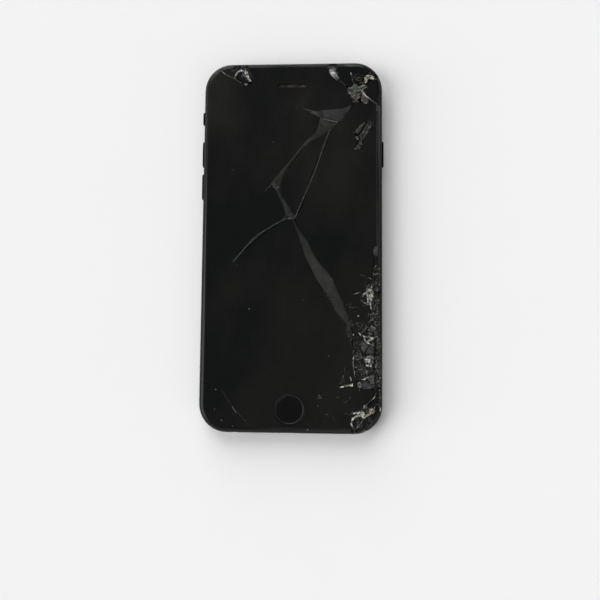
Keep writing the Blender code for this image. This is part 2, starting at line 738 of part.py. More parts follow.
def build_bottom_edge(finishes):
    """Headphone socket, loudspeaker, vibration motor and the two screws."""
    front, back = HEADPHONE_BARREL_ENDS
    level = SIDE_AXIS_LEVEL - 0.15
    bm = add_rod(
        bmesh.new(), (HEADPHONE_X, front, level), (HEADPHONE_X, back, level), HEADPHONE_BARREL_RADIUS, 24
    )
    socket = finish(bm, "headphone_socket", finishes["plastic"])
    bm = add_rod(
        bmesh.new(), (HEADPHONE_X, front - 1, level), (HEADPHONE_X, back - 0.8, level), HEADPHONE_RADIUS, 24
    )
    boolean(socket, finish(bm, "headphone_bore", None), "DIFFERENCE")

    finish(add_box(bmesh.new(), *LOUDSPEAKER, bevel=0.5), "loudspeaker", finishes["plastic"])
    low, high = MOTOR_LEVELS
    bm = add_rod(bmesh.new(), (*MOTOR_PLACE, low), (*MOTOR_PLACE, high), MOTOR_RADIUS, 24)
    finish(bm, "vibration_motor", finishes["steel"])

    head = -HALF_LENGTH + 0.12
    level = SIDE_AXIS_LEVEL
    for name, x in (("bottom_screw_left", -SCREW_X), ("bottom_screw_right", SCREW_X)):
        bm = add_rod(bmesh.new(), (x, head, level), (x, head + SCREW_LENGTH, level), SCREW_RADIUS, 14)
        screw = finish(bm, name, finishes["key"])
        long, short = SCREW_RECESS
        depth = head + SCREW_RECESS_DEPTH
        bm = add_box(bmesh.new(), (x - long, head - 1, level - short), (x + long, depth, level + short))
        add_box(bm, (x - short, head - 1, level - long), (x + short, depth + 0.01, level + long))
        cutter = finish(bm, f"{name}_recess", None)
        boolean(screw, cutter, "DIFFERENCE").use_self = True


def build_inside(finishes):
    """Battery, board with its shields, cameras, sensor and earpiece speaker."""
    finish(add_box(bmesh.new(), *BATTERY, bevel=0.9, segments=3), "battery", finishes["battery"])

    board = finish(add_slab(bmesh.new(), BOARD_OUTLINE, *BOARD_LEVELS), "logic_board", finishes["board"])
    bm = bmesh.new()
    low, high = BOARD_BLOCK_LEVELS
    for left, front, right, back in BOARD_BLOCKS:
        add_box(bm, (left, front, low), (right, back, high))
    boolean(board, finish(bm, "logic_board_components", None), "UNION")
    finish(add_box(bmesh.new(), *BOARD_SHIELD, bevel=0.3), "board_shield_large", finishes["steel"])

    half = CAMERA_MODULE_HALF
    low = (CAMERA_X - half, CAMERA_Y - half, 1.2)
    high = (CAMERA_X + half, CAMERA_Y + half, 4.7)
    bm = add_box(bmesh.new(), low, high, bevel=0.4)
    finish(bm, "rear_camera_module", finishes["plastic"])
    bore = CAMERA_RADIUS - 0.9
    ring = [(bore, 0.05), (bore + 0.15, 0.0), (CAMERA_RADIUS, 0.0), (CAMERA_RADIUS, 0.9), (bore, 0.9)]
    lens = [(CAMERA_LENS_RADIUS * share, level) for share, level in LENS_PROFILE]
    turned = (("rear_camera_ring", ring, "ring"), ("rear_camera_window", lens, "lens"))
    for name, profile, material in turned:
        bm = lathe(profile, 36)
        bmesh.ops.translate(bm, verts=bm.verts, vec=(CAMERA_X, CAMERA_Y, 0.0))
        finish(bm, name, finishes[material])
    bm = add_rod(bmesh.new(), (FLASH_X, CAMERA_Y, 0.05), (FLASH_X, CAMERA_Y, 0.8), FLASH_RADIUS, 20)
    finish(bm, "flash_window", finishes["flash"])

    low, high = FRONT_CAMERA_LEVELS
    place = FRONT_CAMERA_PLACE
    bm = add_rod(bmesh.new(), (*place, low), (*place, high), FRONT_CAMERA_RADIUS, 20)
    finish(bm, "front_camera", finishes["lens"])
    finish(add_box(bmesh.new(), *PROXIMITY_SENSOR, bevel=0.15), "proximity_sensor", finishes["lens"])
    finish(add_box(bmesh.new(), *EARPIECE_SPEAKER, bevel=0.4), "earpiece_speaker", finishes["plastic"])


def build_screen(finishes):
    """Seal, frame, display panel with its shield, earpiece mesh and home button."""
    bm = ring_plate(bmesh.new(), SEAL_OUTER_INSET, FRAME_INNER_INSET, *SEAL_LEVELS)
    finish(bm, "display_seal", finishes["seal"])
    bm = ring_plate(bmesh.new(), FRAME_OUTER_INSET, FRAME_INNER_INSET, FRAME_BOTTOM, RIM_LEVEL)
    frame = finish(bm, "display_frame", finishes["plastic"])
    bevel = frame.modifiers.new("Soft edges", "BEVEL")
    bevel.width = 0.1 * MM
    bevel.segments = 1
    panels = (
        ("lcd_panel", 0.0, (LCD_BOTTOM, GLASS_BOTTOM - GAP), "glass"),
        ("display_shield", SHIELD_INSET, SHIELD_LEVELS, "steel"),
    )
    for name, inset, levels, material in panels:
        outline = rounded_outline(LCD_WIDTH / 2 - inset, LCD_LENGTH / 2 - inset, LCD_CORNER, 3)
        finish(add_slab(bmesh.new(), outline, *levels), name, finishes[material])

    outline = capsule_outline(EARPIECE_WIDTH - 0.4, EARPIECE_HEIGHT - 0.4, 6, (0.0, EARPIECE_Y))
    finish(add_slab(bmesh.new(), outline, *EARPIECE_LEVELS), "earpiece_mesh", finishes["mesh"])

    top = BODY_THICKNESS
    dish = [(0.0, HOME_BOTTOM), (HOME_CAP_RADIUS, HOME_BOTTOM), (HOME_CAP_RADIUS, top - 0.12)]
    for share in (0.96, 0.75, 0.5, 0.25, 0.0):
        dish.append((HOME_CAP_RADIUS * share, top - 0.06 - HOME_DISH * (1 - share * share)))
    finish_home(lathe(dish), "home_button_cap", finishes["glass"])
    ring = [
        (HOME_RING_INNER, HOME_BOTTOM),
        (HOME_RING_OUTER, HOME_BOTTOM),
        (HOME_RING_OUTER, top - 0.08),
        (HOME_RING_OUTER - 0.08, top),
        (HOME_RING_INNER + 0.25, top),
        (HOME_RING_INNER, top - 0.2),
    ]
    finish_home(lathe(ring), "home_button_ring", finishes["ring"])
    finish(add_box(bmesh.new(), *HOME_BRACKET, bevel=0.12), "home_button_bracket", finishes["steel"])


def finish_home(bm, name, material):
    """Move a turned piece to the home button's place, and put its origin on the axis of travel."""
    bmesh.ops.translate(bm, verts=bm.verts, vec=(0.0, HOME_Y, 0.0))
    finish(bm, name, material, origin=(0.0, HOME_Y, BODY_THICKNESS))


def glass_plate():
    """The whole unbroken plate with its rounded edge, a hidden guide for the shards."""
    levels = (GLASS_BOTTOM, 6.55, 6.75, 6.9, 7.01, 7.08, BODY_THICKNESS)
    return finish(loft(bmesh.new(), [body_ring(level) for level in levels]), "glass_plate_guide", None)


def shard(name, top, bottom, plate, material, lift=0.0, tilt=0.0):
    """One piece of glass between a top outline and a bottom outline, cut to the plate's edge."""
    if area(top) < 0:
        top = list(reversed(top))
        bottom = list(reversed(bottom))
    high = BODY_THICKNESS + PLATE_OVERLAP if plate else BODY_THICKNESS
    low = GLASS_BOTTOM - PLATE_OVERLAP if plate else GLASS_BOTTOM
    top_ring = at_level(shrink(top, CRACK_HALF_GAP), high)
    bottom_ring = at_level(shrink(bottom, CRACK_HALF_GAP), low)
    middle_top = at_level(shrink(top, CRACK_HALF_GAP), BODY_THICKNESS)
    middle_low = at_level(shrink(bottom, CRACK_HALF_GAP), GLASS_BOTTOM)
    rings = [bottom_ring, middle_low, middle_top, top_ring] if plate else [bottom_ring, top_ring]
    bm = loft(bmesh.new(), rings)
    if lift or tilt:
        centre = sum((vert.co for vert in bm.verts), Vector()) / len(bm.verts)
        turn = Matrix.Rotation(math.radians(tilt), 3, Vector((1.0, 0.6, 0.0)).normalized())
        bmesh.ops.rotate(bm, verts=bm.verts, cent=centre, matrix=turn)
        bmesh.ops.translate(bm, verts=bm.verts, vec=(0.0, 0.0, lift))
    bmesh.ops.triangulate(bm, faces=[face for face in bm.faces if len(face.verts) == 4])
    obj = finish(bm, name, material)
    if plate:
        boolean(obj, plate, "INTERSECT")
    return obj


def area(points):
    """Signed area of an outline."""
    total = 0.0
    for index, (x, y) in enumerate(points):
        next_x, next_y = points[(index + 1) % len(points)]
        total += x * next_y - next_x * y
    return total / 2


def tops(pairs):
    """The edge of a band on the glass's top face."""
    return [pair[0] for pair in pairs]


def bottoms(pairs):
    """The edge of a band on the glass's bottom face."""
    return [pair[1] for pair in pairs]


def main_panel_outlines():
    """Top and bottom outlines of the large panel, which holds on round the ends of two cracks."""
    start = [(-17.0, 69.6)] + TOP_LEFT_SEAM[-2:0:-1] + [TOP_LEFT_SEAM[0]]
    outside = [(-36.0, 69.6), (-36.0, -71.0), (22.6, -71.0)]
    rise = BOTTOM_CORNER_SEAM[:0:-1] + MAIN_LOWER_SEAM[:0:-1]
    top_seam = LUMP_LEFT_SEAM[-2::-1] + CORNER_SEAM[-2::-1]

    def outline(pick, tips):
        points = list(start) + list(outside) + list(rise)
        points += pick(BAND_TO_EDGE)[::-1]
        points += pick(CRACK_LEFT_LOWER)[::-1] + [tips[0]] + pick(CRACK_LEFT_UPPER)[::-1]
        points += pick(BAND_MIDDLE_LOW)[::-1] + [tips[1]] + pick(BAND_MIDDLE_LEFT)[::-1]
        points += pick(FACET_LOW)[::-1] + pick(CRACK_TOP_LOWER)[::-1] + [tips[2]]
        points += pick(CRACK_TOP_UPPER)[::-1] + pick(FACET_TOP)[::-1]
        return points + list(top_seam)

    tips = (CRACK_LEFT_TIP, BAND_TAIL_TIP, CRACK_TOP_TIP)
    low_tips = ((-20.5, -5.8), (-5.6, 21.6), (1.8, 51.2))
    return outline(tops, tips), outline(bottoms, low_tips)


def build_glass(finishes):
    """Every shard of the broken front glass, in the place where it still sits."""
    plate = glass_plate()
    glass = finishes["glass"]
    top, bottom = main_panel_outlines()
    main = shard("glass_main_panel", top, bottom, plate, glass)
    low, high = GLASS_CUT_LEVELS
    holes = add_rod(bmesh.new(), (0.0, HOME_Y, low), (0.0, HOME_Y, high), HOME_RING_OUTER + 0.2, 40)
    add_slab(holes, capsule_outline(EARPIECE_WIDTH, EARPIECE_HEIGHT, 6, (0.0, EARPIECE_Y)), low, high)
    add_slab(holes, TRIANGLE_HOLE, low, high)
    boolean(main, finish(holes, "glass_main_holes", None), "DIFFERENCE")
    boolean(main, hairline_cutter("glass_hairline_cutter", BOTTOM_LEFT_HAIRLINE), "DIFFERENCE")

    middle_left = bottoms(BAND_MIDDLE_LEFT) + bottoms(BAND_MIDDLE_LOW)
    shard(
        "glass_middle_shard",
        middle_left + tops(CRACK_MIDDLE_RIGHT)[::-1],
        middle_left + bottoms(CRACK_MIDDLE_RIGHT)[::-1],
        plate,
        glass,
    )
    right = bottoms(FACET_TOP) + bottoms(FACET_LOW)[:2] + bottoms(CRACK_MIDDLE_RIGHT)
    right += bottoms(BAND_TO_EDGE) + FLAKE_TOP_SEAM[-2::-1] + STRIP_SEAM[-2::-1]
    right += SIDE_SEAM[::-1] + LUMP_LOW_SEAM[-2:0:-1]
    panel = shard("glass_right_panel", right, right, plate, glass)
    nest = [
        (26.9, 45.9), (29.9, 45.3), (29.7, 43.4), (28.2, 41.6), (26.4, 38.3), (25.9, 36.3),
        (23.2, 34.9), (24.2, 38.3), (22.8, 41.4),
    ]
    boolean(panel, finish(add_slab(bmesh.new(), nest, low, high), "sliver_nest_cutter", None), "DIFFERENCE")
    slivers = (
        ("glass_sliver_1", [(26.7, 45.6), (27.5, 45.4), (24.4, 40.9), (23.1, 41.4)]),
        ("glass_sliver_2", [(27.9, 45.2), (28.8, 45.2), (25.4, 39.6), (24.3, 39.9)]),
        ("glass_sliver_3", [
            (29.3, 45.0), (29.3, 43.5), (27.8, 41.7), (26.1, 38.4), (25.6, 36.5), (23.9, 35.7),
            (24.8, 38.6),
        ]),
    )
    for name, outline in slivers:
        shard(name, outline, outline, None, glass, lift=0.05, tilt=4.0)

    build_top_corner(plate, finishes)
    build_right_edge(plate, finishes)
    build_bottom_corner(plate, finishes)


def build_top_corner(plate, finishes):
    """Shards and crushed lumps of the two top corners."""
    glass = finishes["glass"]
    crushed = finishes["splinter"]
    chip = TOP_LEFT_SEAM[:4] + [(-21.3, 63.4), (-21.0, 64.9), (-20.4, 66.0), (-20.2, 69.6)]
    shard("glass_top_left_chip", chip, chip, plate, glass)
    flake = [
        (-19.6, 69.6), (-19.6, 66.3), (-20.4, 64.8), (-20.9, 62.9), (-18.7, 61.5), (-17.4, 61.0),
        (-16.4, 61.8), (-17.7, 64.9), (-17.7, 69.6),
    ]
    shard("glass_top_left_flake", flake, flake, plate, glass)

    wedge = [
        (14.1, 66.4), (16.0, 66.2), (16.5, 63.9), (17.4, 62.4), (16.3, 61.8), (14.7, 63.3),
        (14.1, 64.9),
    ]
    low_wedge = [
        (13.9, 66.6), (16.2, 66.6), (16.7, 63.9), (17.7, 62.1), (16.3, 61.5), (14.4, 63.2),
        (13.8, 64.9),
    ]
    shard("glass_corner_wedge", wedge, low_wedge, plate, crushed)
    upper = [
        (16.3, 69.6), (16.5, 65.3), (17.9, 62.3), (20.6, 59.3), (22.2, 59.6), (22.9, 60.6),
        (24.3, 60.6),
    ]
    upper += [(26.3, 62.5), (27.7, 63.5), (28.6, 63.2), (30.4, 63.8), (34.0, 64.6), (34.0, 69.6)]
    shard("glass_corner_upper", upper, upper, plate, glass)
    side = [
        (34.0, 63.8), (31.1, 62.4), (29.6, 61.4), (28.5, 61.1), (28.2, 59.9), (27.3, 59.0),
        (26.1, 57.4), (27.0, 55.9),
    ]
    side += SIDE_SEAM
    shard("glass_corner_side", side, side, plate, glass)
    lumps = (
        ("glass_lump_upper", [
            (20.9, 58.5), (22.4, 59.2), (23.0, 60.1), (24.2, 60.1), (25.4, 57.4), (24.2, 56.7),
            (22.0, 57.3),
        ]),
        ("glass_lump_lower", [
            (21.0, 58.0), (22.0, 56.9), (24.3, 56.4), (25.5, 57.0), (25.2, 54.9), (24.3, 54.2),
            (22.6, 54.2), (21.6, 55.5),
        ]),
        ("glass_lump_side", [
            (25.8, 57.0), (28.3, 54.4), (28.4, 53.2), (27.4, 52.3), (26.5, 52.6), (25.4, 53.9),
            (25.7, 55.2),
        ]),
    )
    for index, (name, outline) in enumerate(lumps):
        shard(name, outline, outline, None, crushed, lift=0.05, tilt=2.0 + index)


def build_right_edge(plate, finishes):
    """Strips along the lower right edge and the flakes between them and the large panel."""
    glass = finishes["glass"]
    strips = (
        ("glass_edge_strip_1", STRIP_SEAM[:6] + [(29.6, -18.0), (34.0, -17.0)]),
        ("glass_edge_strip_2", [
            (34.0, -17.6), (29.4, -18.8), (28.9, -21.0), (29.6, -24.0), (29.0, -27.2), (28.6, -30.0),
            (31.0, -31.8), (34.0, -32.2),
        ]),
        ("glass_edge_strip_3", [
            (34.0, -32.8), (31.4, -32.4), (31.2, -36.0), (30.8, -41.0), (31.0, -46.5), (31.2, -52.4),
            (34.0, -52.4),
        ]),
    )
    for name, outline in strips:
        shard(name, outline, outline, plate, glass)
    flakes = (
        ("glass_flake_1", [
            (23.6, -34.0), (25.0, -33.2), (26.3, -34.2), (26.8, -36.0), (27.7, -37.1), (26.7, -39.2),
            (25.4, -39.6), (22.9, -36.9),
        ]),
        ("glass_flake_2", [
            (28.1, -30.6), (30.7, -32.1), (30.9, -36.4), (29.0, -37.2), (27.2, -35.8), (26.6, -33.8),
            (25.4, -32.8),
        ]),
        ("glass_flake_3", [
            (28.1, -37.6), (30.7, -36.9), (30.4, -41.2), (30.6, -46.4), (28.5, -46.2), (27.4, -43.2),
            (27.1, -39.7),
        ]),
        ("glass_flake_4", [
            (23.4, -39.2), (25.6, -40.1), (26.9, -41.6), (27.1, -44.0), (28.1, -46.6), (30.6, -46.9),
            (30.9, -52.4), (25.3, -52.3), (24.4, -51.4), (23.6, -46.0), (23.2, -42.0),
        ]),
    )
    for index, (name, outline) in enumerate(flakes):
        shard(name, outline, outline, None, glass, tilt=0.5 * index)
    triangle = [(20.2, -45.6), (22.0, -49.1), (22.2, -51.6), (18.2, -51.8)]
    shard("glass_triangle", triangle, triangle, None, glass, tilt=1.2)


def build_bottom_corner(plate, finishes):
    """The two pieces of the bottom right corner."""
    glass = finishes["glass"]
    sliver = [
        (22.9, -69.6), (22.6, -66.2), (22.9, -64.3), (24.6, -62.8), (26.0, -62.2), (24.9, -65.0),
        (23.9, -66.6), (23.7, -69.6),
    ]
    shard("glass_bottom_sliver", sliver, sliver, plate, glass)
    corner = [
        (24.3, -69.6), (24.4, -66.8), (25.4, -65.2), (26.6, -62.2), (27.0, -60.3), (28.6, -58.1),
        (31.4, -55.5), (31.5, -52.9), (34.0, -52.9), (34.0, -69.6),
    ]
    shard("glass_bottom_corner", corner, corner, plate, glass)


def hairline_cutter(name, points):
    """A thin V-shaped groove along a line on the glass."""
    rings = []
    for index, point in enumerate(points):
        before = Vector(points[max(index - 1, 0)])
        after = Vector(points[min(index + 1, len(points) - 1)])
        across = (after - before).normalized().orthogonal()
        half = HAIRLINE_WIDTH / 2 * (0.25 if index in (0, len(points) - 1) else 1.0)
        here = Vector(point)
        left = here + across * half
        right = here - across * half
        rings.append(
            [
                (left.x, left.y, BODY_THICKNESS + 0.2),
                (right.x, right.y, BODY_THICKNESS + 0.2),
                (here.x, here.y, BODY_THICKNESS - HAIRLINE_DEPTH),
            ]
        )
    bm = loft(bmesh.new(), rings)
    bmesh.ops.triangulate(bm, faces=bm.faces)
    return finish(bm, name, None)


def main():
    """Build the phone."""
    clear_scene()
    finishes = make_materials()
    housing = build_housing(finishes)
    build_antenna_bands(housing, finishes)
    build_keys(finishes)
    build_sim(finishes)
    build_port(finishes)
    build_bottom_edge(finishes)
    build_inside(finishes)
    build_screen(finishes)
    build_glass(finishes)


main()
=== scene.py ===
"""Looks of a touch-screen phone with a shattered front glass, lying on its back.

Lengths in the lists below are millimetres on the phone: x to the side with the power button, y to the
end with the earpiece and z up from the back face.
"""

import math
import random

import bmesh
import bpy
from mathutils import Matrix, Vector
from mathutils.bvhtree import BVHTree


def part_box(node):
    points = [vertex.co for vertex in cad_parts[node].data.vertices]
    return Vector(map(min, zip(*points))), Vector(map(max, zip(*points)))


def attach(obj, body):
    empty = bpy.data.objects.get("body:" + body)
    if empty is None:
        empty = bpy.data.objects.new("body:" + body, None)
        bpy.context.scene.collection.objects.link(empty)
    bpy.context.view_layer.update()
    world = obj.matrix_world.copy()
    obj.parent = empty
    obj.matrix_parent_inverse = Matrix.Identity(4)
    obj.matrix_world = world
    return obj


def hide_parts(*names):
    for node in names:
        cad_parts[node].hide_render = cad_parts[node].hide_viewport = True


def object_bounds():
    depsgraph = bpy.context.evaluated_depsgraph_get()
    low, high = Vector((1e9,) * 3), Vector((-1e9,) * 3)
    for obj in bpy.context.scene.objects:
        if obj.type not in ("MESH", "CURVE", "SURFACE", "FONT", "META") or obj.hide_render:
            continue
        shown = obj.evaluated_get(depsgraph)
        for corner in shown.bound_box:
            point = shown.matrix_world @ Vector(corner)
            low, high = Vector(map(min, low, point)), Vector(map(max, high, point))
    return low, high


bl_info = {
    "name": "Shattered Screen Phone",
    "version": (1, 0, 0),
    "blender": (4, 5, 0),
    "location": "3D View > Sidebar > Broken Phone",
    "description": "Broken glass, metal finishes and a pale studio for a phone with a shattered screen",
    "category": "Add Mesh",
}

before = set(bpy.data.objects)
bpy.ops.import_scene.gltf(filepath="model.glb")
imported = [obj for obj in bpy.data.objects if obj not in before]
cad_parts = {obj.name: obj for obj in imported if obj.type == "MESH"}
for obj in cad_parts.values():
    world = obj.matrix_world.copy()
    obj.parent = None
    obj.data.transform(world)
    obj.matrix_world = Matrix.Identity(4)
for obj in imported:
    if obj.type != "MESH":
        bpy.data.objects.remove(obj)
CAD_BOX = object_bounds()

MM = 0.001

# Sizes read from the frame
HOUSING_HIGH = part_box("rear_housing")[1]
HALF_WIDTH = HOUSING_HIGH.x / MM
HALF_LENGTH = HOUSING_HIGH.y / MM
GLASS_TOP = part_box("glass_main_panel")[1].z / MM
HIGHEST = CAD_BOX[1].z / MM

# Radius of the phone's corners, and how far in from its rim the glass is rounded
CORNER_RADIUS = 10.4
GLASS_EDGE_BAND = 2.45

# Patches of crumbs stop this far from the rim
CRUMB_MARGIN = 0.6

# Splinters that bridge a crack sit this far below the top of the glass, and over the rim's width they
# drop by up to this much more
BRIDGE_SINK = 0.08
RIM_WIDTH = 2.4
RIM_DROP = 0.3

# Bumps per metre of the crushed glass, and the two crossing waves that fold the crushed lumps
MOTTLE_SCALE = 1300.0
FOLD_WAVES = ((2600, 1500), (-1700, 2100))

# Height above the floor and width of the far lamps, in degrees
LAMP_HEIGHT = 31.0
LAMP_WIDTH = 52.0

# Tones of broken glass, in the order of the slots on every crumbled piece
TONES = ("white", "cream", "green", "brown", "grey", "faint", "smoke")

# Tones mixed into a stroke or patch of each tone
BLENDS = {
    "white": ("white", "white", "white", "grey"),
    "cream": ("cream", "cream", "white", "brown"),
    "green": ("green", "green", "grey", "smoke"),
    "brown": ("brown", "brown", "grey", "smoke"),
    "grey": ("grey", "grey", "faint"),
    "faint": ("faint", "faint", "smoke"),
    "smoke": ("smoke",),
}

# Strokes of crumbled glass: tone, width and the points along each
TOP_LEFT_STROKES = [
    ("grey", 0.3, [(-27.3, 65.9), (-26.2, 65.0), (-25.0, 64.2), (-23.4, 63.4), (-21.8, 62.7)]),
    ("white", 0.25, [(-26.9, 65.6), (-25.9, 64.8), (-25.0, 64.2)]),
    ("grey", 0.4, [(-22.6, 63.2), (-21.0, 62.2), (-19.6, 61.3), (-18.3, 60.6)]),
    ("faint", 0.4, [(-18.3, 60.6), (-17.4, 60.7), (-16.5, 61.0)]),
    ("white", 0.6, [(-21.8, 62.8), (-21.4, 64.1), (-20.6, 65.3), (-19.6, 65.7), (-18.9, 65.8)]),
    ("grey", 0.3, [(-21.2, 63.4), (-20.7, 64.6), (-20.0, 65.2)]),
    ("white", 0.8, [(-18.2, 66.2), (-17.8, 65.0), (-17.2, 63.9), (-16.5, 62.6), (-15.6, 61.3)]),
    ("cream", 0.4, [(-17.8, 66.0), (-17.0, 64.9), (-16.4, 63.5)]),
    ("faint", 0.4, [(-17.0, 66.4), (-15.9, 64.4), (-14.7, 62.3)]),
    ("cream", 0.35, [(-18.9, 64.6), (-18.3, 63.9), (-17.8, 63.1)]),
    ("brown", 0.4, [(-19.2, 64.0), (-18.8, 62.8)]),
    ("grey", 0.35, [(-17.5, 62.6), (-17.2, 61.6)]),
    ("white", 0.55, [(-18.2, 60.9), (-17.6, 60.4), (-16.9, 60.2)]),
]
TOP_RIGHT_STROKES = [
    ("brown", 0.8, [(13.4, 67.0), (14.1, 66.2), (14.8, 65.8)]),
    ("white", 1.1, [(13.7, 65.8), (14.4, 64.6), (15.2, 63.5), (16.0, 62.6)]),
    ("white", 0.6, [(14.8, 65.3), (15.6, 64.2), (16.5, 62.9)]),
    ("grey", 0.7, [(15.6, 63.0), (16.3, 62.3), (17.0, 61.7)]),
    ("brown", 0.5, [(15.9, 65.8), (16.5, 64.7), (17.2, 63.4)]),
    ("smoke", 0.5, [(16.5, 64.5), (17.3, 63.1), (18.3, 61.8)]),
    ("faint", 0.45, [(16.9, 62.0), (18.3, 60.9), (20.1, 59.1)]),
    ("grey", 0.3, [(21.8, 64.0), (22.2, 62.2), (22.6, 60.8), (23.1, 59.7)]),
    ("faint", 0.3, [(22.0, 63.4), (24.2, 63.6), (26.4, 63.2)]),
    ("grey", 0.25, [(22.2, 63.0), (24.2, 62.6), (26.3, 62.5)]),
    ("faint", 0.25, [(22.6, 62.4), (24.5, 61.9), (26.2, 61.8)]),
    ("faint", 0.25, [(23.0, 61.8), (24.6, 61.3), (26.2, 61.2)]),
    ("cream", 1.0, [(27.2, 62.6), (28.2, 62.8), (29.2, 62.7), (30.6, 62.2)]),
    ("cream", 0.6, [(28.6, 62.2), (29.6, 62.0), (30.2, 61.7)]),
    ("cream", 1.0, [(27.6, 62.4), (27.4, 61.3), (26.8, 60.5)]),
    ("grey", 0.5, [(27.1, 60.6), (26.0, 60.5), (24.9, 60.3)]),
    ("white", 0.75, [(24.8, 58.6), (25.7, 59.2), (26.9, 59.8)]),
    ("white", 0.45, [(25.7, 57.6), (26.6, 58.4), (27.7, 58.9)]),
    ("white", 0.45, [(25.3, 57.8), (26.0, 57.0), (26.8, 56.0), (27.8, 55.0), (28.7, 54.4)]),
    ("grey", 0.3, [(25.6, 58.0), (26.4, 57.2), (27.2, 56.3)]),
    ("grey", 0.5, [(28.0, 54.8), (29.3, 53.8), (30.4, 53.0), (31.3, 52.2)]),
    ("grey", 0.5, [(31.4, 51.4), (31.5, 49.3)]),
    ("smoke", 0.5, [(31.5, 49.3), (31.3, 46.5)]),
    ("brown", 0.4, [(21.9, 56.0), (23.2, 54.8), (24.4, 54.0)]),
    ("grey", 0.35, [(22.4, 57.0), (23.4, 55.8), (24.6, 55.3)]),
    ("faint", 0.35, [(25.9, 55.2), (26.8, 53.9), (27.9, 53.0)]),
    ("smoke", 0.7, [(13.7, 67.4), (14.8, 67.4), (16.0, 67.3)]),
]
SLIVER_STROKES = [
    ("faint", 0.5, [(27.4, 45.6), (28.6, 45.6), (29.7, 45.0), (29.9, 43.9)]),
    ("green", 1.0, [(29.2, 44.9), (28.6, 43.6), (27.6, 42.0), (26.4, 40.4), (25.2, 39.0)]),
    ("grey", 0.55, [(26.5, 45.2), (25.2, 43.8), (24.0, 42.4), (23.1, 41.4)]),
    ("grey", 0.3, [(24.2, 42.5), (23.1, 41.4)]),
    ("faint", 0.4, [(27.0, 44.7), (25.8, 43.0), (24.7, 41.5), (23.8, 40.4)]),
    ("grey", 0.35, [(28.1, 44.4), (26.9, 42.6), (25.4, 40.6), (23.8, 39.3)]),
    ("faint", 0.5, [(28.7, 45.0), (27.9, 43.4), (26.6, 41.6), (25.2, 39.8)]),
    ("faint", 0.5, [(29.4, 44.9), (28.9, 43.4), (27.6, 41.4), (26.2, 39.6)]),
    ("faint", 0.4, [(29.3, 43.2), (28.2, 41.4), (27.0, 39.6), (25.6, 38.3)]),
    ("grey", 0.3, [(28.8, 42.2), (27.6, 40.4), (26.4, 38.9), (25.3, 38.0)]),
    ("smoke", 0.5, [(26.6, 40.8), (25.6, 39.6), (24.8, 38.7)]),
    ("grey", 0.5, [(23.8, 40.1), (24.2, 39.3), (24.8, 38.7)]),
    ("white", 0.25, [(23.9, 39.6), (24.5, 38.8)]),
    ("grey", 0.45, [(25.7, 37.8), (24.8, 36.7), (24.0, 35.8), (23.1, 35.0)]),
    ("grey", 0.4, [(26.0, 37.6), (25.8, 36.6)]),
    ("grey", 0.35, [(25.4, 37.0), (24.6, 35.9), (24.2, 35.1)]),
    ("faint", 0.4, [(25.8, 36.5), (25.3, 35.8), (25.0, 35.0)]),
]
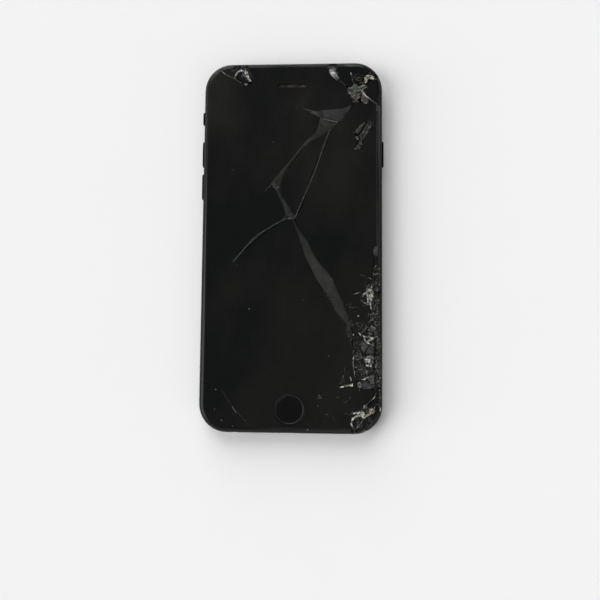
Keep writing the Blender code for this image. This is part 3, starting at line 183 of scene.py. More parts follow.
RIGHT_EDGE_STROKES = [
    ("grey", 0.25, [(30.3, -4.4), (30.3, -2.6), (30.8, -1.2), (31.9, -0.6)]),
    ("faint", 0.25, [(31.8, -3.5), (31.3, -4.5), (30.4, -4.7)]),
    ("faint", 0.3, [(26.3, -11.9), (27.2, -12.2), (28.0, -13.0)]),
    ("grey", 0.25, [(28.3, -12.3), (28.8, -12.7), (29.4, -13.1)]),
    ("faint", 0.25, [(25.4, -11.3), (26.6, -11.7)]),
    ("green", 0.3, [(27.4, -13.5), (27.1, -14.8), (27.2, -16.2)]),
    ("grey", 0.3, [(27.2, -15.4), (27.7, -16.4), (28.2, -17.2)]),
    ("grey", 0.25, [(28.4, -14.9), (28.0, -15.9), (28.3, -17.0)]),
    ("green", 0.25, [(28.9, -14.6), (28.6, -15.9), (28.7, -17.0)]),
    ("white", 0.35, [(29.5, -15.2), (29.3, -16.2), (29.1, -17.0)]),
    ("grey", 0.25, [(30.4, -14.6), (29.9, -15.6), (29.5, -16.6)]),
    ("faint", 0.25, [(30.8, -13.6), (30.9, -14.6)]),
    ("grey", 0.3, [(31.5, -15.2), (31.1, -16.2), (30.4, -16.9)]),
    ("white", 0.5, [(26.1, -19.1), (26.7, -18.4), (27.5, -17.7), (28.3, -17.2)]),
    ("grey", 0.3, [(26.9, -18.9), (27.7, -18.3), (28.4, -17.8)]),
    ("white", 0.8, [(27.9, -17.6), (28.4, -16.9), (29.1, -16.9), (29.7, -17.4)]),
    ("white", 0.5, [(28.0, -17.9), (27.9, -18.9), (28.3, -19.8)]),
    ("white", 0.5, [(28.9, -17.8), (29.6, -18.6), (29.9, -19.6)]),
    ("cream", 0.4, [(28.5, -19.2), (29.2, -20.0), (29.4, -20.8)]),
    ("white", 0.4, [(27.9, -20.0), (28.3, -20.8), (29.0, -21.5)]),
    ("white", 0.7, [(29.2, -21.5), (29.2, -22.5)]),
    ("white", 0.45, [(28.7, -21.7), (29.1, -22.7), (29.2, -24.2)]),
    ("grey", 0.4, [(29.9, -21.7), (29.5, -22.6), (29.3, -23.8)]),
    ("green", 0.3, [(22.7, -18.8), (24.0, -18.5), (25.3, -17.9)]),
    ("grey", 0.25, [(23.2, -18.5), (24.4, -18.1), (25.4, -17.7)]),
    ("green", 0.4, [(25.4, -20.4), (26.0, -21.1), (27.1, -22.0)]),
    ("grey", 0.3, [(25.5, -19.9), (26.0, -19.3), (26.3, -18.9)]),
    ("green", 0.4, [(26.1, -22.8), (27.2, -22.6), (28.4, -22.1)]),
    ("grey", 0.45, [(27.3, -21.5), (27.7, -22.1), (28.4, -22.4)]),
    ("grey", 0.5, [(31.9, -20.8), (31.1, -22.0), (30.7, -22.9), (30.2, -24.5)]),
    ("white", 0.25, [(31.9, -20.6), (31.2, -21.6)]),
    ("smoke", 0.4, [(20.2, -22.2), (21.2, -22.3), (22.6, -22.4)]),
    ("smoke", 0.4, [(21.6, -23.2), (23.0, -23.4), (24.8, -23.4)]),
    ("grey", 0.35, [(28.3, -27.2), (28.2, -26.2), (28.7, -25.6), (29.2, -26.0), (29.3, -27.2)]),
    ("grey", 0.35, [(29.6, -26.8), (29.6, -25.8), (30.2, -25.4), (30.7, -26.0), (30.5, -26.9)]),
    ("grey", 0.3, [(29.2, -24.6), (29.6, -25.4)]),
    ("grey", 0.5, [
        (28.3, -29.6), (28.5, -28.5), (29.2, -27.9), (30.1, -27.8), (30.8, -28.6), (30.9, -30.1),
    ]),
    ("grey", 0.45, [(28.2, -29.9), (27.2, -31.2), (26.0, -32.2), (25.0, -32.7)]),
    ("grey", 0.25, [(27.6, -29.9), (26.8, -31.0), (25.8, -31.8)]),
    ("white", 0.35, [(24.9, -32.5), (25.1, -33.0), (25.6, -33.5)]),
    ("grey", 0.35, [(22.6, -33.2), (23.3, -33.5)]),
    ("white", 0.5, [
        (26.3, -33.7), (26.8, -34.4), (27.0, -35.2), (27.7, -35.9), (28.5, -36.4), (29.3, -36.9),
    ]),
    ("white", 0.45, [(26.4, -33.7), (27.2, -34.0), (28.0, -34.2)]),
    ("white", 0.55, [
        (31.3, -33.4), (30.6, -34.0), (29.7, -34.4), (29.0, -34.9), (28.4, -35.5), (27.9, -35.9),
    ]),
    ("cream", 0.6, [(29.9, -34.3), (29.3, -34.7), (28.8, -35.2)]),
    ("cream", 0.25, [(28.2, -33.6), (28.8, -34.2), (29.2, -34.5)]),
    ("grey", 0.4, [(29.4, -35.5), (29.9, -36.2), (30.1, -36.9)]),
    ("white", 0.4, [(29.9, -36.6), (30.4, -37.2)]),
    ("grey", 0.3, [(31.6, -34.6), (32.1, -34.8)]),
    ("grey", 0.35, [(28.5, -36.9), (27.9, -37.7), (27.2, -38.7), (26.5, -39.9)]),
    ("faint", 0.3, [(32.0, -37.0), (31.3, -37.5), (30.6, -38.1)]),
    ("grey", 0.3, [(30.1, -38.4), (30.0, -39.3), (29.4, -40.0)]),
    ("faint", 0.4, [(21.9, -35.6), (22.1, -36.8), (23.0, -38.1), (24.2, -39.1), (25.4, -40.0)]),
    ("grey", 0.35, [
        (22.8, -35.8), (23.2, -37.2), (24.0, -38.3), (25.2, -39.1), (25.8, -39.9), (25.7, -40.9),
    ]),
    ("smoke", 0.35, [(24.6, -32.9), (23.4, -33.8), (22.3, -34.9)]),
    ("grey", 0.45, [(23.2, -38.7), (22.9, -39.4), (22.9, -40.2)]),
    ("grey", 0.4, [
        (23.0, -40.0), (23.1, -41.6), (22.85, -43.6), (23.1, -45.9), (23.5, -48.0), (24.2, -50.3),
    ]),
    ("white", 0.3, [(23.0, -41.0), (22.85, -42.4)]),
    ("white", 0.25, [(23.1, -46.0), (23.35, -47.2)]),
    ("grey", 0.35, [(26.6, -40.2), (26.8, -41.6), (26.9, -43.2)]),
    ("brown", 0.4, [(27.0, -43.3), (27.4, -44.8), (28.2, -45.9)]),
    ("white", 0.5, [(27.2, -42.4), (27.6, -41.9), (28.0, -41.6)]),
    ("white", 0.6, [(27.4, -43.1), (28.0, -42.9), (28.7, -42.8)]),
    ("white", 0.5, [(27.7, -44.1), (28.4, -44.3), (29.1, -44.4)]),
    ("grey", 0.5, [(28.5, -41.2), (29.3, -41.9), (29.7, -42.8)]),
    ("grey", 0.5, [(29.4, -42.5), (30.2, -42.1), (30.7, -41.6), (30.7, -41.0)]),
    ("white", 0.25, [(28.2, -41.0), (29.0, -41.3)]),
    ("grey", 0.5, [(31.3, -43.3), (30.9, -44.2), (30.6, -45.0)]),
    ("white", 0.25, [(31.3, -43.4), (31.0, -44.1)]),
    ("grey", 0.3, [(28.6, -45.4), (29.2, -45.1), (29.9, -44.8)]),
    ("faint", 0.3, [(24.2, -43.0), (25.1, -42.9)]),
    ("faint", 0.25, [(24.3, -46.6), (24.9, -45.2), (26.2, -44.6), (27.2, -45.1)]),
    ("smoke", 0.3, [(24.9, -47.2), (25.5, -46.0), (26.6, -45.9)]),
    ("faint", 0.25, [(25.4, -48.6), (26.4, -48.2), (27.4, -47.4)]),
    ("grey", 0.5, [(27.0, -46.2), (27.5, -46.6), (27.6, -47.3)]),
    ("faint", 0.25, [(23.9, -40.6), (24.6, -40.2), (25.4, -41.4), (25.0, -42.6)]),
    ("grey", 0.35, [(32.2, -46.0), (31.2, -46.2), (30.4, -46.9), (29.7, -47.3)]),
    ("faint", 0.3, [(30.9, -47.2), (30.9, -48.6), (30.8, -50.6)]),
    ("white", 0.55, [(28.3, -48.3), (27.3, -48.9), (26.1, -49.7)]),
    ("grey", 0.35, [
        (24.9, -52.1), (24.5, -51.2), (24.8, -50.4), (25.4, -50.4), (25.6, -51.2), (25.1, -52.0),
    ]),
    ("grey", 0.3, [(25.7, -50.4), (26.6, -50.0), (27.2, -50.4), (28.0, -49.8)]),
    ("grey", 0.35, [(25.0, -52.35), (27.0, -52.35), (28.6, -52.2), (30.3, -52.2)]),
    ("grey", 0.25, [(25.1, -52.6), (25.0, -53.4)]),
    ("grey", 0.3, [(20.2, -45.5), (19.6, -47.6), (18.6, -50.4), (18.2, -51.6)]),
    ("faint", 0.22, [(20.1, -46.4), (19.5, -48.2), (18.9, -49.6)]),
    ("faint", 0.3, [(20.3, -45.6), (21.0, -46.8), (21.7, -48.3)]),
    ("white", 0.35, [(21.7, -48.3), (22.0, -49.0), (22.2, -49.9)]),
    ("cream", 0.6, [(22.5, -50.6), (22.3, -51.3), (21.4, -51.6)]),
    ("cream", 0.4, [(21.6, -51.3), (20.6, -51.5), (19.6, -51.7)]),
    ("white", 0.4, [(19.6, -51.8), (18.8, -52.0), (18.1, -52.1)]),
    ("faint", 0.25, [(19.6, -49.4), (19.5, -50.3)]),
    ("smoke", 0.6, [(24.5, -49.5), (25.9, -48.1), (27.4, -47.2)]),
    ("faint", 0.5, [(27.2, -47.3), (28.8, -46.7), (30.2, -45.8)]),
    ("smoke", 0.5, [(25.9, -52.4), (27.6, -52.7), (29.8, -52.6)]),
    ("grey", 0.35, [(22.3, -34.2), (21.9, -35.6), (22.1, -36.9), (23.0, -38.2)]),
    ("faint", 0.45, [(22.8, -37.9), (24.1, -39.1), (25.5, -40.1)]),
]
BOTTOM_RIGHT_STROKES = [
    ("grey", 0.4, [(30.6, -53.3), (31.1, -53.8), (30.8, -55.1), (29.7, -56.3), (28.6, -57.3)]),
    ("white", 0.2, [(31.0, -54.3), (30.5, -55.6), (29.4, -56.6)]),
    ("grey", 0.4, [(28.6, -57.3), (27.8, -58.1), (27.0, -59.0), (26.4, -59.9)]),
    ("grey", 0.6, [(27.6, -58.5), (27.0, -59.3), (26.3, -60.4)]),
    ("white", 0.6, [(24.4, -60.9), (23.6, -61.2), (22.7, -61.5)]),
    ("faint", 0.4, [(22.8, -61.5), (21.5, -61.7), (20.1, -61.6)]),
    ("white", 0.65, [(25.3, -61.8), (24.2, -62.3), (23.0, -63.1), (22.3, -64.3)]),
    ("white", 0.4, [(22.3, -64.2), (22.3, -65.3), (22.9, -66.4)]),
    ("grey", 0.3, [(22.6, -65.8), (23.2, -66.6), (24.0, -67.2)]),
    ("grey", 0.4, [(26.7, -63.2), (25.8, -64.5), (24.8, -65.8), (23.8, -67.0)]),
    ("white", 0.25, [(25.9, -64.3), (25.0, -65.5), (24.2, -66.5)]),
    ("grey", 0.3, [(26.8, -63.0), (25.6, -63.2), (24.6, -62.6)]),
    ("faint", 0.25, [(24.1, -62.9), (24.7, -64.2), (25.2, -65.4)]),
    ("faint", 0.25, [(23.0, -64.4), (24.2, -64.4), (25.3, -63.8)]),
    ("faint", 0.3, [(25.8, -64.6), (26.0, -65.8), (25.4, -67.0)]),
    ("white", 0.6, [(26.4, -60.6), (26.5, -61.7), (26.3, -62.9)]),
    ("cream", 0.6, [(26.5, -62.6), (27.3, -62.3), (28.2, -61.8), (29.2, -61.2)]),
    ("cream", 0.6, [(29.2, -61.2), (29.9, -60.4), (30.2, -59.6)]),
    ("white", 0.3, [(29.5, -59.3), (30.0, -59.9), (30.5, -59.3)]),
    ("cream", 0.4, [(28.6, -59.9), (29.4, -59.9), (30.0, -60.6)]),
    ("brown", 0.4, [(27.4, -59.6), (28.2, -60.6), (28.7, -61.2)]),
    ("grey", 0.35, [(25.0, -60.4), (25.8, -60.3), (26.6, -60.1)]),
    ("faint", 0.4, [(30.6, -58.9), (31.0, -58.1), (31.9, -58.1), (32.2, -58.9)]),
    ("white", 0.35, [(32.5, -59.0), (32.6, -60.6)]),
    ("faint", 0.4, [(19.2, -57.0), (19.8, -57.8), (20.5, -58.4)]),
    ("grey", 0.3, [(20.6, -56.9), (19.9, -57.6)]),
    ("faint", 0.35, [(21.8, -55.2), (22.0, -56.1)]),
    ("smoke", 0.5, [(17.5, -55.8), (18.6, -56.2)]),
    ("grey", 0.3, [(11.2, -54.8), (10.5, -55.6), (10.5, -56.4), (11.3, -56.1)]),
    ("smoke", 0.3, [(5.5, -64.0), (7.2, -65.8)]),
    ("smoke", 0.4, [(15.3, -62.5), (16.2, -63.9), (17.0, -65.3)]),
]
BOTTOM_LEFT_STROKES = [
    ("faint", 0.2, [(-25.3, -52.3), (-24.3, -54.0), (-23.0, -56.3), (-22.0, -58.0), (-20.8, -59.3)]),
    ("grey", 0.35, [(-20.8, -59.3), (-19.8, -61.0), (-18.8, -61.8)]),
    ("faint", 0.22, [(-18.8, -61.8), (-17.5, -63.0), (-16.0, -64.5), (-15.0, -65.8)]),
]
CENTRE_STROKES = [
    ("grey", 0.25, [(11.1, 47.2), (12.2, 46.7), (14.3, 46.1), (15.8, 45.8), (17.4, 45.4)]),
    ("grey", 0.22, [(11.3, 47.1), (12.3, 46.6), (13.2, 46.4)]),
    ("white", 0.22, [(14.0, 46.2), (15.0, 46.0)]),
    ("grey", 0.25, [(16.2, 45.7), (17.2, 45.4)]),
    ("faint", 0.3, [(17.2, 45.3), (15.4, 44.0), (13.6, 42.4)]),
    ("grey", 0.3, [(14.4, 42.9), (13.4, 42.1)]),
    ("faint", 0.3, [(10.6, 49.9), (10.5, 48.4), (10.4, 47.4)]),
    ("grey", 0.3, [(-8.0, 21.8), (-9.0, 20.6), (-9.9, 19.5)]),
    ("faint", 0.3, [(-2.6, 9.3), (-1.2, 10.0), (0.2, 10.6), (1.4, 11.4)]),
    ("faint", 0.3, [(-1.2, 11.8), (-0.2, 10.6), (0.9, 9.4), (1.5, 8.2)]),
    ("faint", 0.25, [(-0.6, 10.9), (0.4, 10.5), (1.2, 10.9)]),
]

# Thin flat facets that bridge a crack, in a tone lighter than the black glass. The tone stands for the
# crack's frosted face and paints the light it catches: tone, width and points
PAINTED_LIGHT_LINES = [
    ("smoke", 0.42, [
        (13.7, 41.9), (11.65, 36.2), (8.7, 27.7), (5.7, 20.2), (3.4, 14.6), (2.0, 11.2), (1.3, 9.4),
    ]),
    ("smoke", 0.45, [
        (-1.6, 9.5), (-6.1, 7.1), (-10.9, 4.1), (-13.6, 2.1), (-16.6, -1.2), (-19.2, -4.2), (-21.5, -6.9),
    ]),
]

# Patches of crumbs: tone, centre, half lengths, turn in degrees and number of crumbs
TOP_CRUMBS = [
    ("white", (-19.6, 65.6), (1.0, 0.4), 10, 26),
    ("white", (-17.3, 64.5), (0.5, 1.6), 20, 36),
    ("smoke", (-22.0, 66.3), (3.0, 0.9), -8, 36),
    ("brown", (14.6, 66.4), (1.3, 0.6), 0, 26),
    ("white", (14.8, 64.6), (1.3, 0.45), -56, 44),
    ("grey", (21.2, 57.5), (0.9, 1.3), 0, 60),
    ("green", (23.2, 58.5), (1.2, 1.5), 0, 80),
    ("brown", (23.2, 57.1), (1.6, 0.5), 0, 60),
    ("brown", (23.4, 55.2), (1.7, 1.3), 0, 90),
    ("brown", (23.5, 53.3), (1.2, 0.3), 0, 24),
    ("grey", (23.0, 55.8), (1.4, 0.9), 0, 40),
    ("brown", (27.0, 53.6), (1.2, 1.6), 30, 70),
    ("cream", (28.6, 62.4), (2.0, 0.6), -4, 60),
    ("cream", (27.2, 61.4), (0.7, 1.0), 0, 30),
    ("white", (21.9, 64.0), (0.3, 0.3), 0, 8),
    ("brown", (29.5, 64.0), (1.5, 0.6), -30, 12),
]
EDGE_CRUMBS = [
    ("white", (28.7, -18.3), (1.4, 1.6), 0, 60),
    ("white", (28.6, -20.6), (0.9, 1.1), 0, 44),
    ("cream", (29.4, -19.4), (0.7, 1.3), 0, 28),
    ("grey", (28.2, -16.2), (1.2, 1.0), 0, 20),
    ("grey", (28.0, -22.1), (0.7, 0.5), 0, 16),
    ("green", (26.3, -21.2), (0.9, 0.7), -40, 16),
    ("grey", (29.4, -27.4), (1.0, 0.4), 0, 14),
    ("grey", (29.6, -31.2), (1.4, 1.0), 0, 70),
    ("green", (29.4, -30.6), (1.2, 0.8), 0, 28),
    ("grey", (30.9, -32.0), (0.6, 0.5), 0, 24),
    ("green", (29.3, -32.8), (1.2, 0.4), 0, 18),
    ("brown", (28.6, -33.9), (0.7, 0.4), 0, 16),
    ("cream", (29.2, -34.8), (0.7, 0.5), 30, 26),
    ("brown", (28.2, -35.1), (0.5, 0.3), 0, 10),
    ("grey", (30.0, -36.6), (0.5, 0.6), 0, 18),
    ("brown", (24.6, -41.0), (1.6, 1.4), 0, 60),
    ("brown", (25.2, -44.6), (1.6, 1.8), 0, 30),
    ("smoke", (25.4, -46.2), (1.9, 2.2), 0, 70),
    ("grey", (27.5, -46.6), (0.6, 0.7), 0, 30),
    ("white", (28.0, -42.5), (1.2, 1.0), 0, 46),
    ("white", (28.6, -44.2), (1.2, 0.6), 0, 30),
    ("grey", (29.4, -42.0), (0.9, 0.9), 0, 50),
    ("green", (29.3, -43.3), (0.9, 0.6), 0, 30),
    ("grey", (29.2, -41.0), (1.4, 0.5), 0, 24),
    ("grey", (30.9, -44.2), (0.4, 0.9), -20, 20),
    ("grey", (25.0, -51.2), (0.8, 1.0), 0, 56),
    ("faint", (28.2, -51.4), (2.6, 0.8), 0, 70),
    ("grey", (29.4, -49.2), (0.9, 1.3), 0, 36),
    ("cream", (22.2, -51.3), (0.6, 0.5), 0, 24),
    ("brown", (31.2, -13.0), (1.6, 5.0), 0, 60),
    ("green", (31.0, -22.0), (1.4, 6.0), 0, 60),
    ("brown", (31.4, -31.0), (1.2, 6.0), 0, 70),
    ("green", (31.9, -41.0), (0.9, 7.0), 0, 100),
    ("brown", (31.9, -47.0), (0.9, 6.0), 0, 100),
    ("faint", (31.2, -2.4), (0.6, 1.6), -8, 26),
    ("smoke", (21.4, -29.4), (1.4, 1.6), 0, 40),
    ("smoke", (25.4, -30.0), (2.4, 1.4), 0, 50),
    ("smoke", (22.8, -24.0), (2.0, 1.4), -20, 12),
    ("smoke", (24.7, -35.6), (1.9, 2.4), 0, 60),
    ("faint", (28.9, -46.2), (1.0, 0.5), 0, 30),
    ("faint", (30.7, -46.6), (0.4, 0.6), 0, 14),
    ("grey", (28.6, -41.4), (1.6, 0.6), 0, 40),
    ("smoke", (21.0, -32.0), (1.1, 2.2), 0, 36),
    ("smoke", (28.4, -39.0), (1.4, 1.2), 0, 30),
]
BOTTOM_CRUMBS = [
    ("white", (25.7, -61.5), (1.3, 1.0), 0, 80),
    ("cream", (26.6, -62.2), (0.7, 0.8), 0, 28),
    ("cream", (29.4, -60.6), (1.1, 0.8), 30, 60),
    ("brown", (28.2, -60.6), (0.9, 0.9), 0, 34),
    ("grey", (27.2, -58.9), (0.7, 0.8), 0, 44),
    ("grey", (23.4, -61.2), (1.0, 0.3), 15, 16),
    ("grey", (26.8, -67.6), (1.0, 0.25), 15, 18),
    ("smoke", (25.0, -64.8), (1.8, 1.8), 0, 40),
    ("smoke", (28.6, -64.4), (1.6, 1.8), 0, 40),
    ("brown", (32.2, -56.0), (0.6, 3.0), 0, 26),
    ("grey", (11.0, -55.9), (0.5, 0.5), 0, 8),
]
CENTRE_CRUMBS = [
    ("faint", (0.0, 10.1), (1.6, 1.0), 10, 20),
    ("faint", (-6.4, 22.0), (0.8, 0.3), -30, 12),
    ("smoke", (-14.3, 1.4), (1.2, 0.4), 42, 14),
]
SLIVER_CRUMBS = [
    ("green", (27.4, 42.0), (3.9, 0.7), 57, 110),
    ("green", (24.9, 43.2), (2.5, 0.4), 50, 44),
    ("green", (24.6, 36.2), (1.7, 0.7), 48, 44),
    ("grey", (24.2, 39.5), (0.6, 0.5), -40, 16),
]

# Thin flat flakes: tone and outline
FLAKES = [
    ("faint", [
        (25.7, -35.9), (27.5, -36.0), (28.5, -36.8), (27.8, -37.7), (27.2, -38.9), (26.6, -39.7),
        (25.8, -38.7),
    ]),
    ("smoke", [
        (28.6, -37.1), (29.8, -37.3), (30.2, -38.2), (29.4, -39.9), (28.3, -39.7), (27.2, -40.1),
        (27.5, -39.0),
    ]),
    ("faint", [(27.9, -48.5), (29.5, -47.4), (30.5, -47.8), (30.3, -49.5), (30.5, -50.8), (28.9, -50.9)]),
    ("smoke", [(25.8, -50.6), (27.6, -50.2), (28.8, -51.1), (30.5, -51.2), (30.2, -52.0), (26.0, -52.0)]),
    ("smoke", [(-1.7, 9.6), (-0.8, 11.2), (0.4, 11.4), (1.6, 10.5), (1.5, 9.3), (0.5, 8.7), (-0.8, 8.9)]),
    ("smoke", [(30.2, -4.2), (30.5, -1.7), (31.8, -0.8), (31.7, -3.6), (31.1, -4.5)]),
]

# Single specks of dust and grit: tone, place and size
SPECKS = [
    ("grey", (10.2, -58.8), 0.5),
    ("grey", (13.4, -61.8), 0.5),
    ("smoke", (12.5, -64.5), 0.4),
    ("grey", (21.8, -56.0), 0.45),
    ("faint", (17.3, -55.7), 0.6),
    ("grey", (6.6, -67.4), 0.5),
    ("grey", (-26.9, -53.4), 0.5),
    ("grey", (-27.2, -60.5), 0.5),
    ("grey", (-24.6, -64.5), 0.45),
    ("smoke", (-20.5, -66.5), 0.4),
    ("smoke", (1.4, -9.9), 0.4),
    ("smoke", (4.6, -20.6), 0.4),
    ("white", (-15.2, -24.2), 0.45),
    ("smoke", (-22.0, 27.7), 0.4),
    ("smoke", (-7.0, 38.0), 0.4),
    ("grey", (14.0, -40.9), 0.4),
    ("white", (24.6, -26.4), 0.55),
    ("grey", (-19.8, -7.9), 0.45),
    ("white", (22.0, -49.0), 0.4),
    ("grey", (32.4, -44.8), 0.45),
    ("cream", (32.4, -48.6), 0.5),
    ("cream", (32.2, -53.0), 0.45),
    ("white", (22.9, -33.3), 0.5),
]

# Left edge of the wide band, where its face breaks up into feathers
FEATHERED_EDGE = [
    (8.9, -12.4), (11.0, -15.0), (13.8, -19.0), (16.0, -23.0), (17.1, -25.0), (18.8, -27.0), (21.3, -30.8),
]


class PhoneColours(bpy.types.PropertyGroup):
    """Colours of the phone's finishes."""

    screen: bpy.props.FloatVectorProperty(
        name="Screen", description="Black glass with the display off", subtype="COLOR",
        default=(0.0056, 0.0063, 0.0061),
    )
    screen_smear: bpy.props.FloatVectorProperty(
        name="Smears", description="Greasy film on the black glass", subtype="COLOR",
        default=(0.0110, 0.0114, 0.0098),
    )
    # Crack-face colour towards the top end: lighter and bluer, painted light on the crack faces
    fracture_lit_top: bpy.props.FloatVectorProperty(
        name="Cool fracture", description="Slanted crack faces near the top", subtype="COLOR",
        default=(0.0262, 0.0276, 0.0268),
    )
    # Crack-face colour lower down: darker, painted shade on the crack faces
    fracture_shaded_low: bpy.props.FloatVectorProperty(
        name="Warm fracture", description="Slanted crack faces lower down", subtype="COLOR",
        default=(0.0222, 0.0228, 0.0204),
    )
    metal: bpy.props.FloatVectorProperty(
        name="Housing", description="Black anodised metal", subtype="COLOR", default=(0.0085, 0.0085, 0.0095)
    )
    bare_metal: bpy.props.FloatVectorProperty(
        name="Bare metal", description="Metal under the scuffs", subtype="COLOR", default=(0.11, 0.105, 0.10)
    )
    white_glass: bpy.props.FloatVectorProperty(
        name="White glass", description="Brightest crushed glass", subtype="COLOR",
        default=(0.93, 0.93, 0.885),
    )


class PhoneSizes(bpy.types.PropertyGroup):
    """Sizes of the small broken and woven parts."""

    crumb: bpy.props.FloatProperty(
        name="Crumb", description="Length of one crumb of glass", default=0.00034, unit="LENGTH", precision=5
    )
    fibre: bpy.props.FloatProperty(
        name="Fibre", description="Width of one fibre of a stroke", default=0.0002, unit="LENGTH", precision=5
    )
    crumb_height: bpy.props.FloatProperty(
        name="Crumb height", description="How far crumbs stand up", default=0.00018,
        unit="LENGTH", precision=5,
    )
    weave: bpy.props.FloatProperty(
        name="Weave", description="Pitch of the earpiece wires", default=0.00034, unit="LENGTH", precision=5
    )
    feather: bpy.props.FloatProperty(
        name="Feather pitch", description="Distance between feathers of the wide band", default=0.0005,
        unit="LENGTH",
    )
    seed: bpy.props.IntProperty(name="Seed", description="Start of the random shapes", default=11)


class StudioSettings(bpy.types.PropertyGroup):
    """Floor and light."""

    floor_size: bpy.props.FloatProperty(
        name="Floor", description="Side of the floor", default=6.0, unit="LENGTH"
    )
    floor_colour: bpy.props.FloatVectorProperty(
        name="Floor colour", description="Pale floor", subtype="COLOR", default=(0.97, 0.97, 0.97)
    )
    overhead: bpy.props.FloatProperty(
        name="Overhead", description="Brightness straight above", default=0.09
    )
    horizon: bpy.props.FloatProperty(
        name="Horizon", description="Brightness at eye level", default=0.95
    )
    key_light: bpy.props.FloatProperty(
        name="Key light", description="Strength of the lamp at the left", default=2.0
    )
    fill_light: bpy.props.FloatProperty(
        name="Fill light", description="Strength of the lamp at the back", default=1.9
    )
    weak_light: bpy.props.FloatProperty(
        name="Weak light", description="Strength of the lamp at the front right", default=0.45
    )
    shaded_side: bpy.props.FloatProperty(
        name="Shaded side", description="Brightness half way up on the right", default=0.14
    )


def settings():
    """The three groups of settings."""
    scene = bpy.context.scene
    return scene.phone_colours, scene.phone_sizes, scene.phone_studio


def add_node(tree, kind, values=None, **options):
    """Add a shader node with its options and the values of its sockets."""
    item = tree.nodes.new(kind)
    for name, value in options.items():
        setattr(item, name, value)
    for name, value in (values or {}).items():
        item.inputs[name].default_value = value
    return item


def start_material(name, roughness, metallic=0.0, coat=0.0, ior=1.5):
    """A Principled material, with its tree, its shader and its object coordinates."""
    material = bpy.data.materials.new(name)
    material.use_nodes = True
    tree = material.node_tree
    shader = tree.nodes["Principled BSDF"]
    shader.inputs["Roughness"].default_value = roughness
    shader.inputs["Metallic"].default_value = metallic
    shader.inputs["Coat Weight"].default_value = coat
    shader.inputs["Coat Roughness"].default_value = 0.04
    shader.inputs["IOR"].default_value = ior
    coords = add_node(tree, "ShaderNodeTexCoord").outputs["Object"]
    return material, tree, shader, coords


def scaled(colour, share):
    """A darker or lighter shade of a colour."""
    return tuple(min(1.0, share * c) for c in colour)


def noise(tree, coords, scale, detail, stretch=(1.0, 1.0, 1.0), turn=0.0):
    """Noise of the given number of bumps per metre, which may be stretched and turned."""
    mapping = add_node(tree, "ShaderNodeMapping")
    mapping.inputs["Scale"].default_value = stretch
    mapping.inputs["Rotation"].default_value = (0.0, 0.0, math.radians(turn))
    tree.links.new(coords, mapping.inputs["Vector"])
    texture = add_node(tree, "ShaderNodeTexNoise", {"Scale": scale, "Detail": detail})
    tree.links.new(mapping.outputs["Vector"], texture.inputs["Vector"])
    return texture.outputs["Fac"]


def cells(tree, coords, scale):
    """Distance from the middle of round cells, of the given number per metre."""
    item = add_node(tree, "ShaderNodeTexVoronoi", {"Scale": scale})
    tree.links.new(coords, item.inputs["Vector"])
    return item.outputs["Distance"]


def ramp(tree, value, stops):
    """Turn a value into a colour, by (place, colour) stops."""
    item = add_node(tree, "ShaderNodeValToRGB")
    band = item.color_ramp
    while len(band.elements) < len(stops):
        band.elements.new(0.5)
    for element, (place, colour) in zip(band.elements, stops):
        element.position = place
        element.color = (*colour, 1.0)
    tree.links.new(value, item.inputs["Fac"])
    return item.outputs["Color"]


def colour_by(tree, shader, value, stops):
    """Colour the shader by a value."""
    tree.links.new(ramp(tree, value, stops), shader.inputs["Base Color"])


def spread(tree, value, low, high, from_low=0.35, from_high=0.65):
    """Stretch the middle of a noise over a range of numbers."""
    item = add_node(
        tree,
        "ShaderNodeMapRange",
        {"From Min": from_low, "From Max": from_high, "To Min": low, "To Max": high},
    )
    tree.links.new(value, item.inputs["Value"])
    return item.outputs["Result"]


def blend_colours(tree, share, first, second, blend_type="MIX"):
    """Blend two colours by a share. Each of the three is fixed, or comes from a node."""
    item = add_node(tree, "ShaderNodeMix", data_type="RGBA", blend_type=blend_type)
    for socket, value in ((item.inputs[0], share), (item.inputs[6], first), (item.inputs[7], second)):
        if isinstance(value, tuple):
            socket.default_value = (*value, 1.0)
        elif isinstance(value, float):
            socket.default_value = value
        else:
            tree.links.new(value, socket)
    return item.outputs[2]


def bump(tree, shader, height, distance):
    """Give the shader a bump of the given depth in metres."""
    item = add_node(tree, "ShaderNodeBump", {"Distance": distance, "Strength": 1.0})
    tree.links.new(height, item.inputs["Height"])
    tree.links.new(item.outputs["Normal"], shader.inputs["Normal"])


def near_point(tree, coords, centre, radius):
    """A mask that is 1 near a point in metres and falls to 0 at the radius."""
    away = add_node(tree, "ShaderNodeVectorMath", operation="DISTANCE")
    away.inputs[1].default_value = centre
    tree.links.new(coords, away.inputs[0])
    return spread(tree, away.outputs["Value"], 1.0, 0.0, from_low=0.0, from_high=radius)


def product(tree, first, second):
    """Multiply two values."""
    item = add_node(tree, "ShaderNodeMath", operation="MULTIPLY")
    tree.links.new(first, item.inputs[0])
    tree.links.new(second, item.inputs[1])
    return item.outputs["Value"]


def screen_glass(name, share=1.0, ior=1.38):
    """Black glass with a thin greasy film and fine dust, all darkened to a share; a share below 1 is painted
    shade.
    """
    colours, _, _ = settings()
    material, tree, shader, coords = start_material(name, 0.08, ior=ior)
    smear = noise(tree, coords, 45.0, 4.0, (1.0, 0.6, 1.0), 25.0)
    film = spread(tree, smear, 0.0, 1.0, from_low=0.40, from_high=0.70)
    base = blend_colours(tree, film, scaled(colours.screen, share), scaled(colours.screen_smear, share))
    dust = ramp(tree, noise(tree, coords, 2600.0, 2.0), [(0.70, (0.0,) * 3), (0.80, (1.0,) * 3)])
    tree.links.new(blend_colours(tree, dust, base, (0.03 * share,) * 3), shader.inputs["Base Color"])
    tree.links.new(spread(tree, smear, 0.05, 0.22 * share), shader.inputs["Roughness"])
    bump(tree, shader, noise(tree, coords, 300.0, 2.0), 0.000002)
    return material


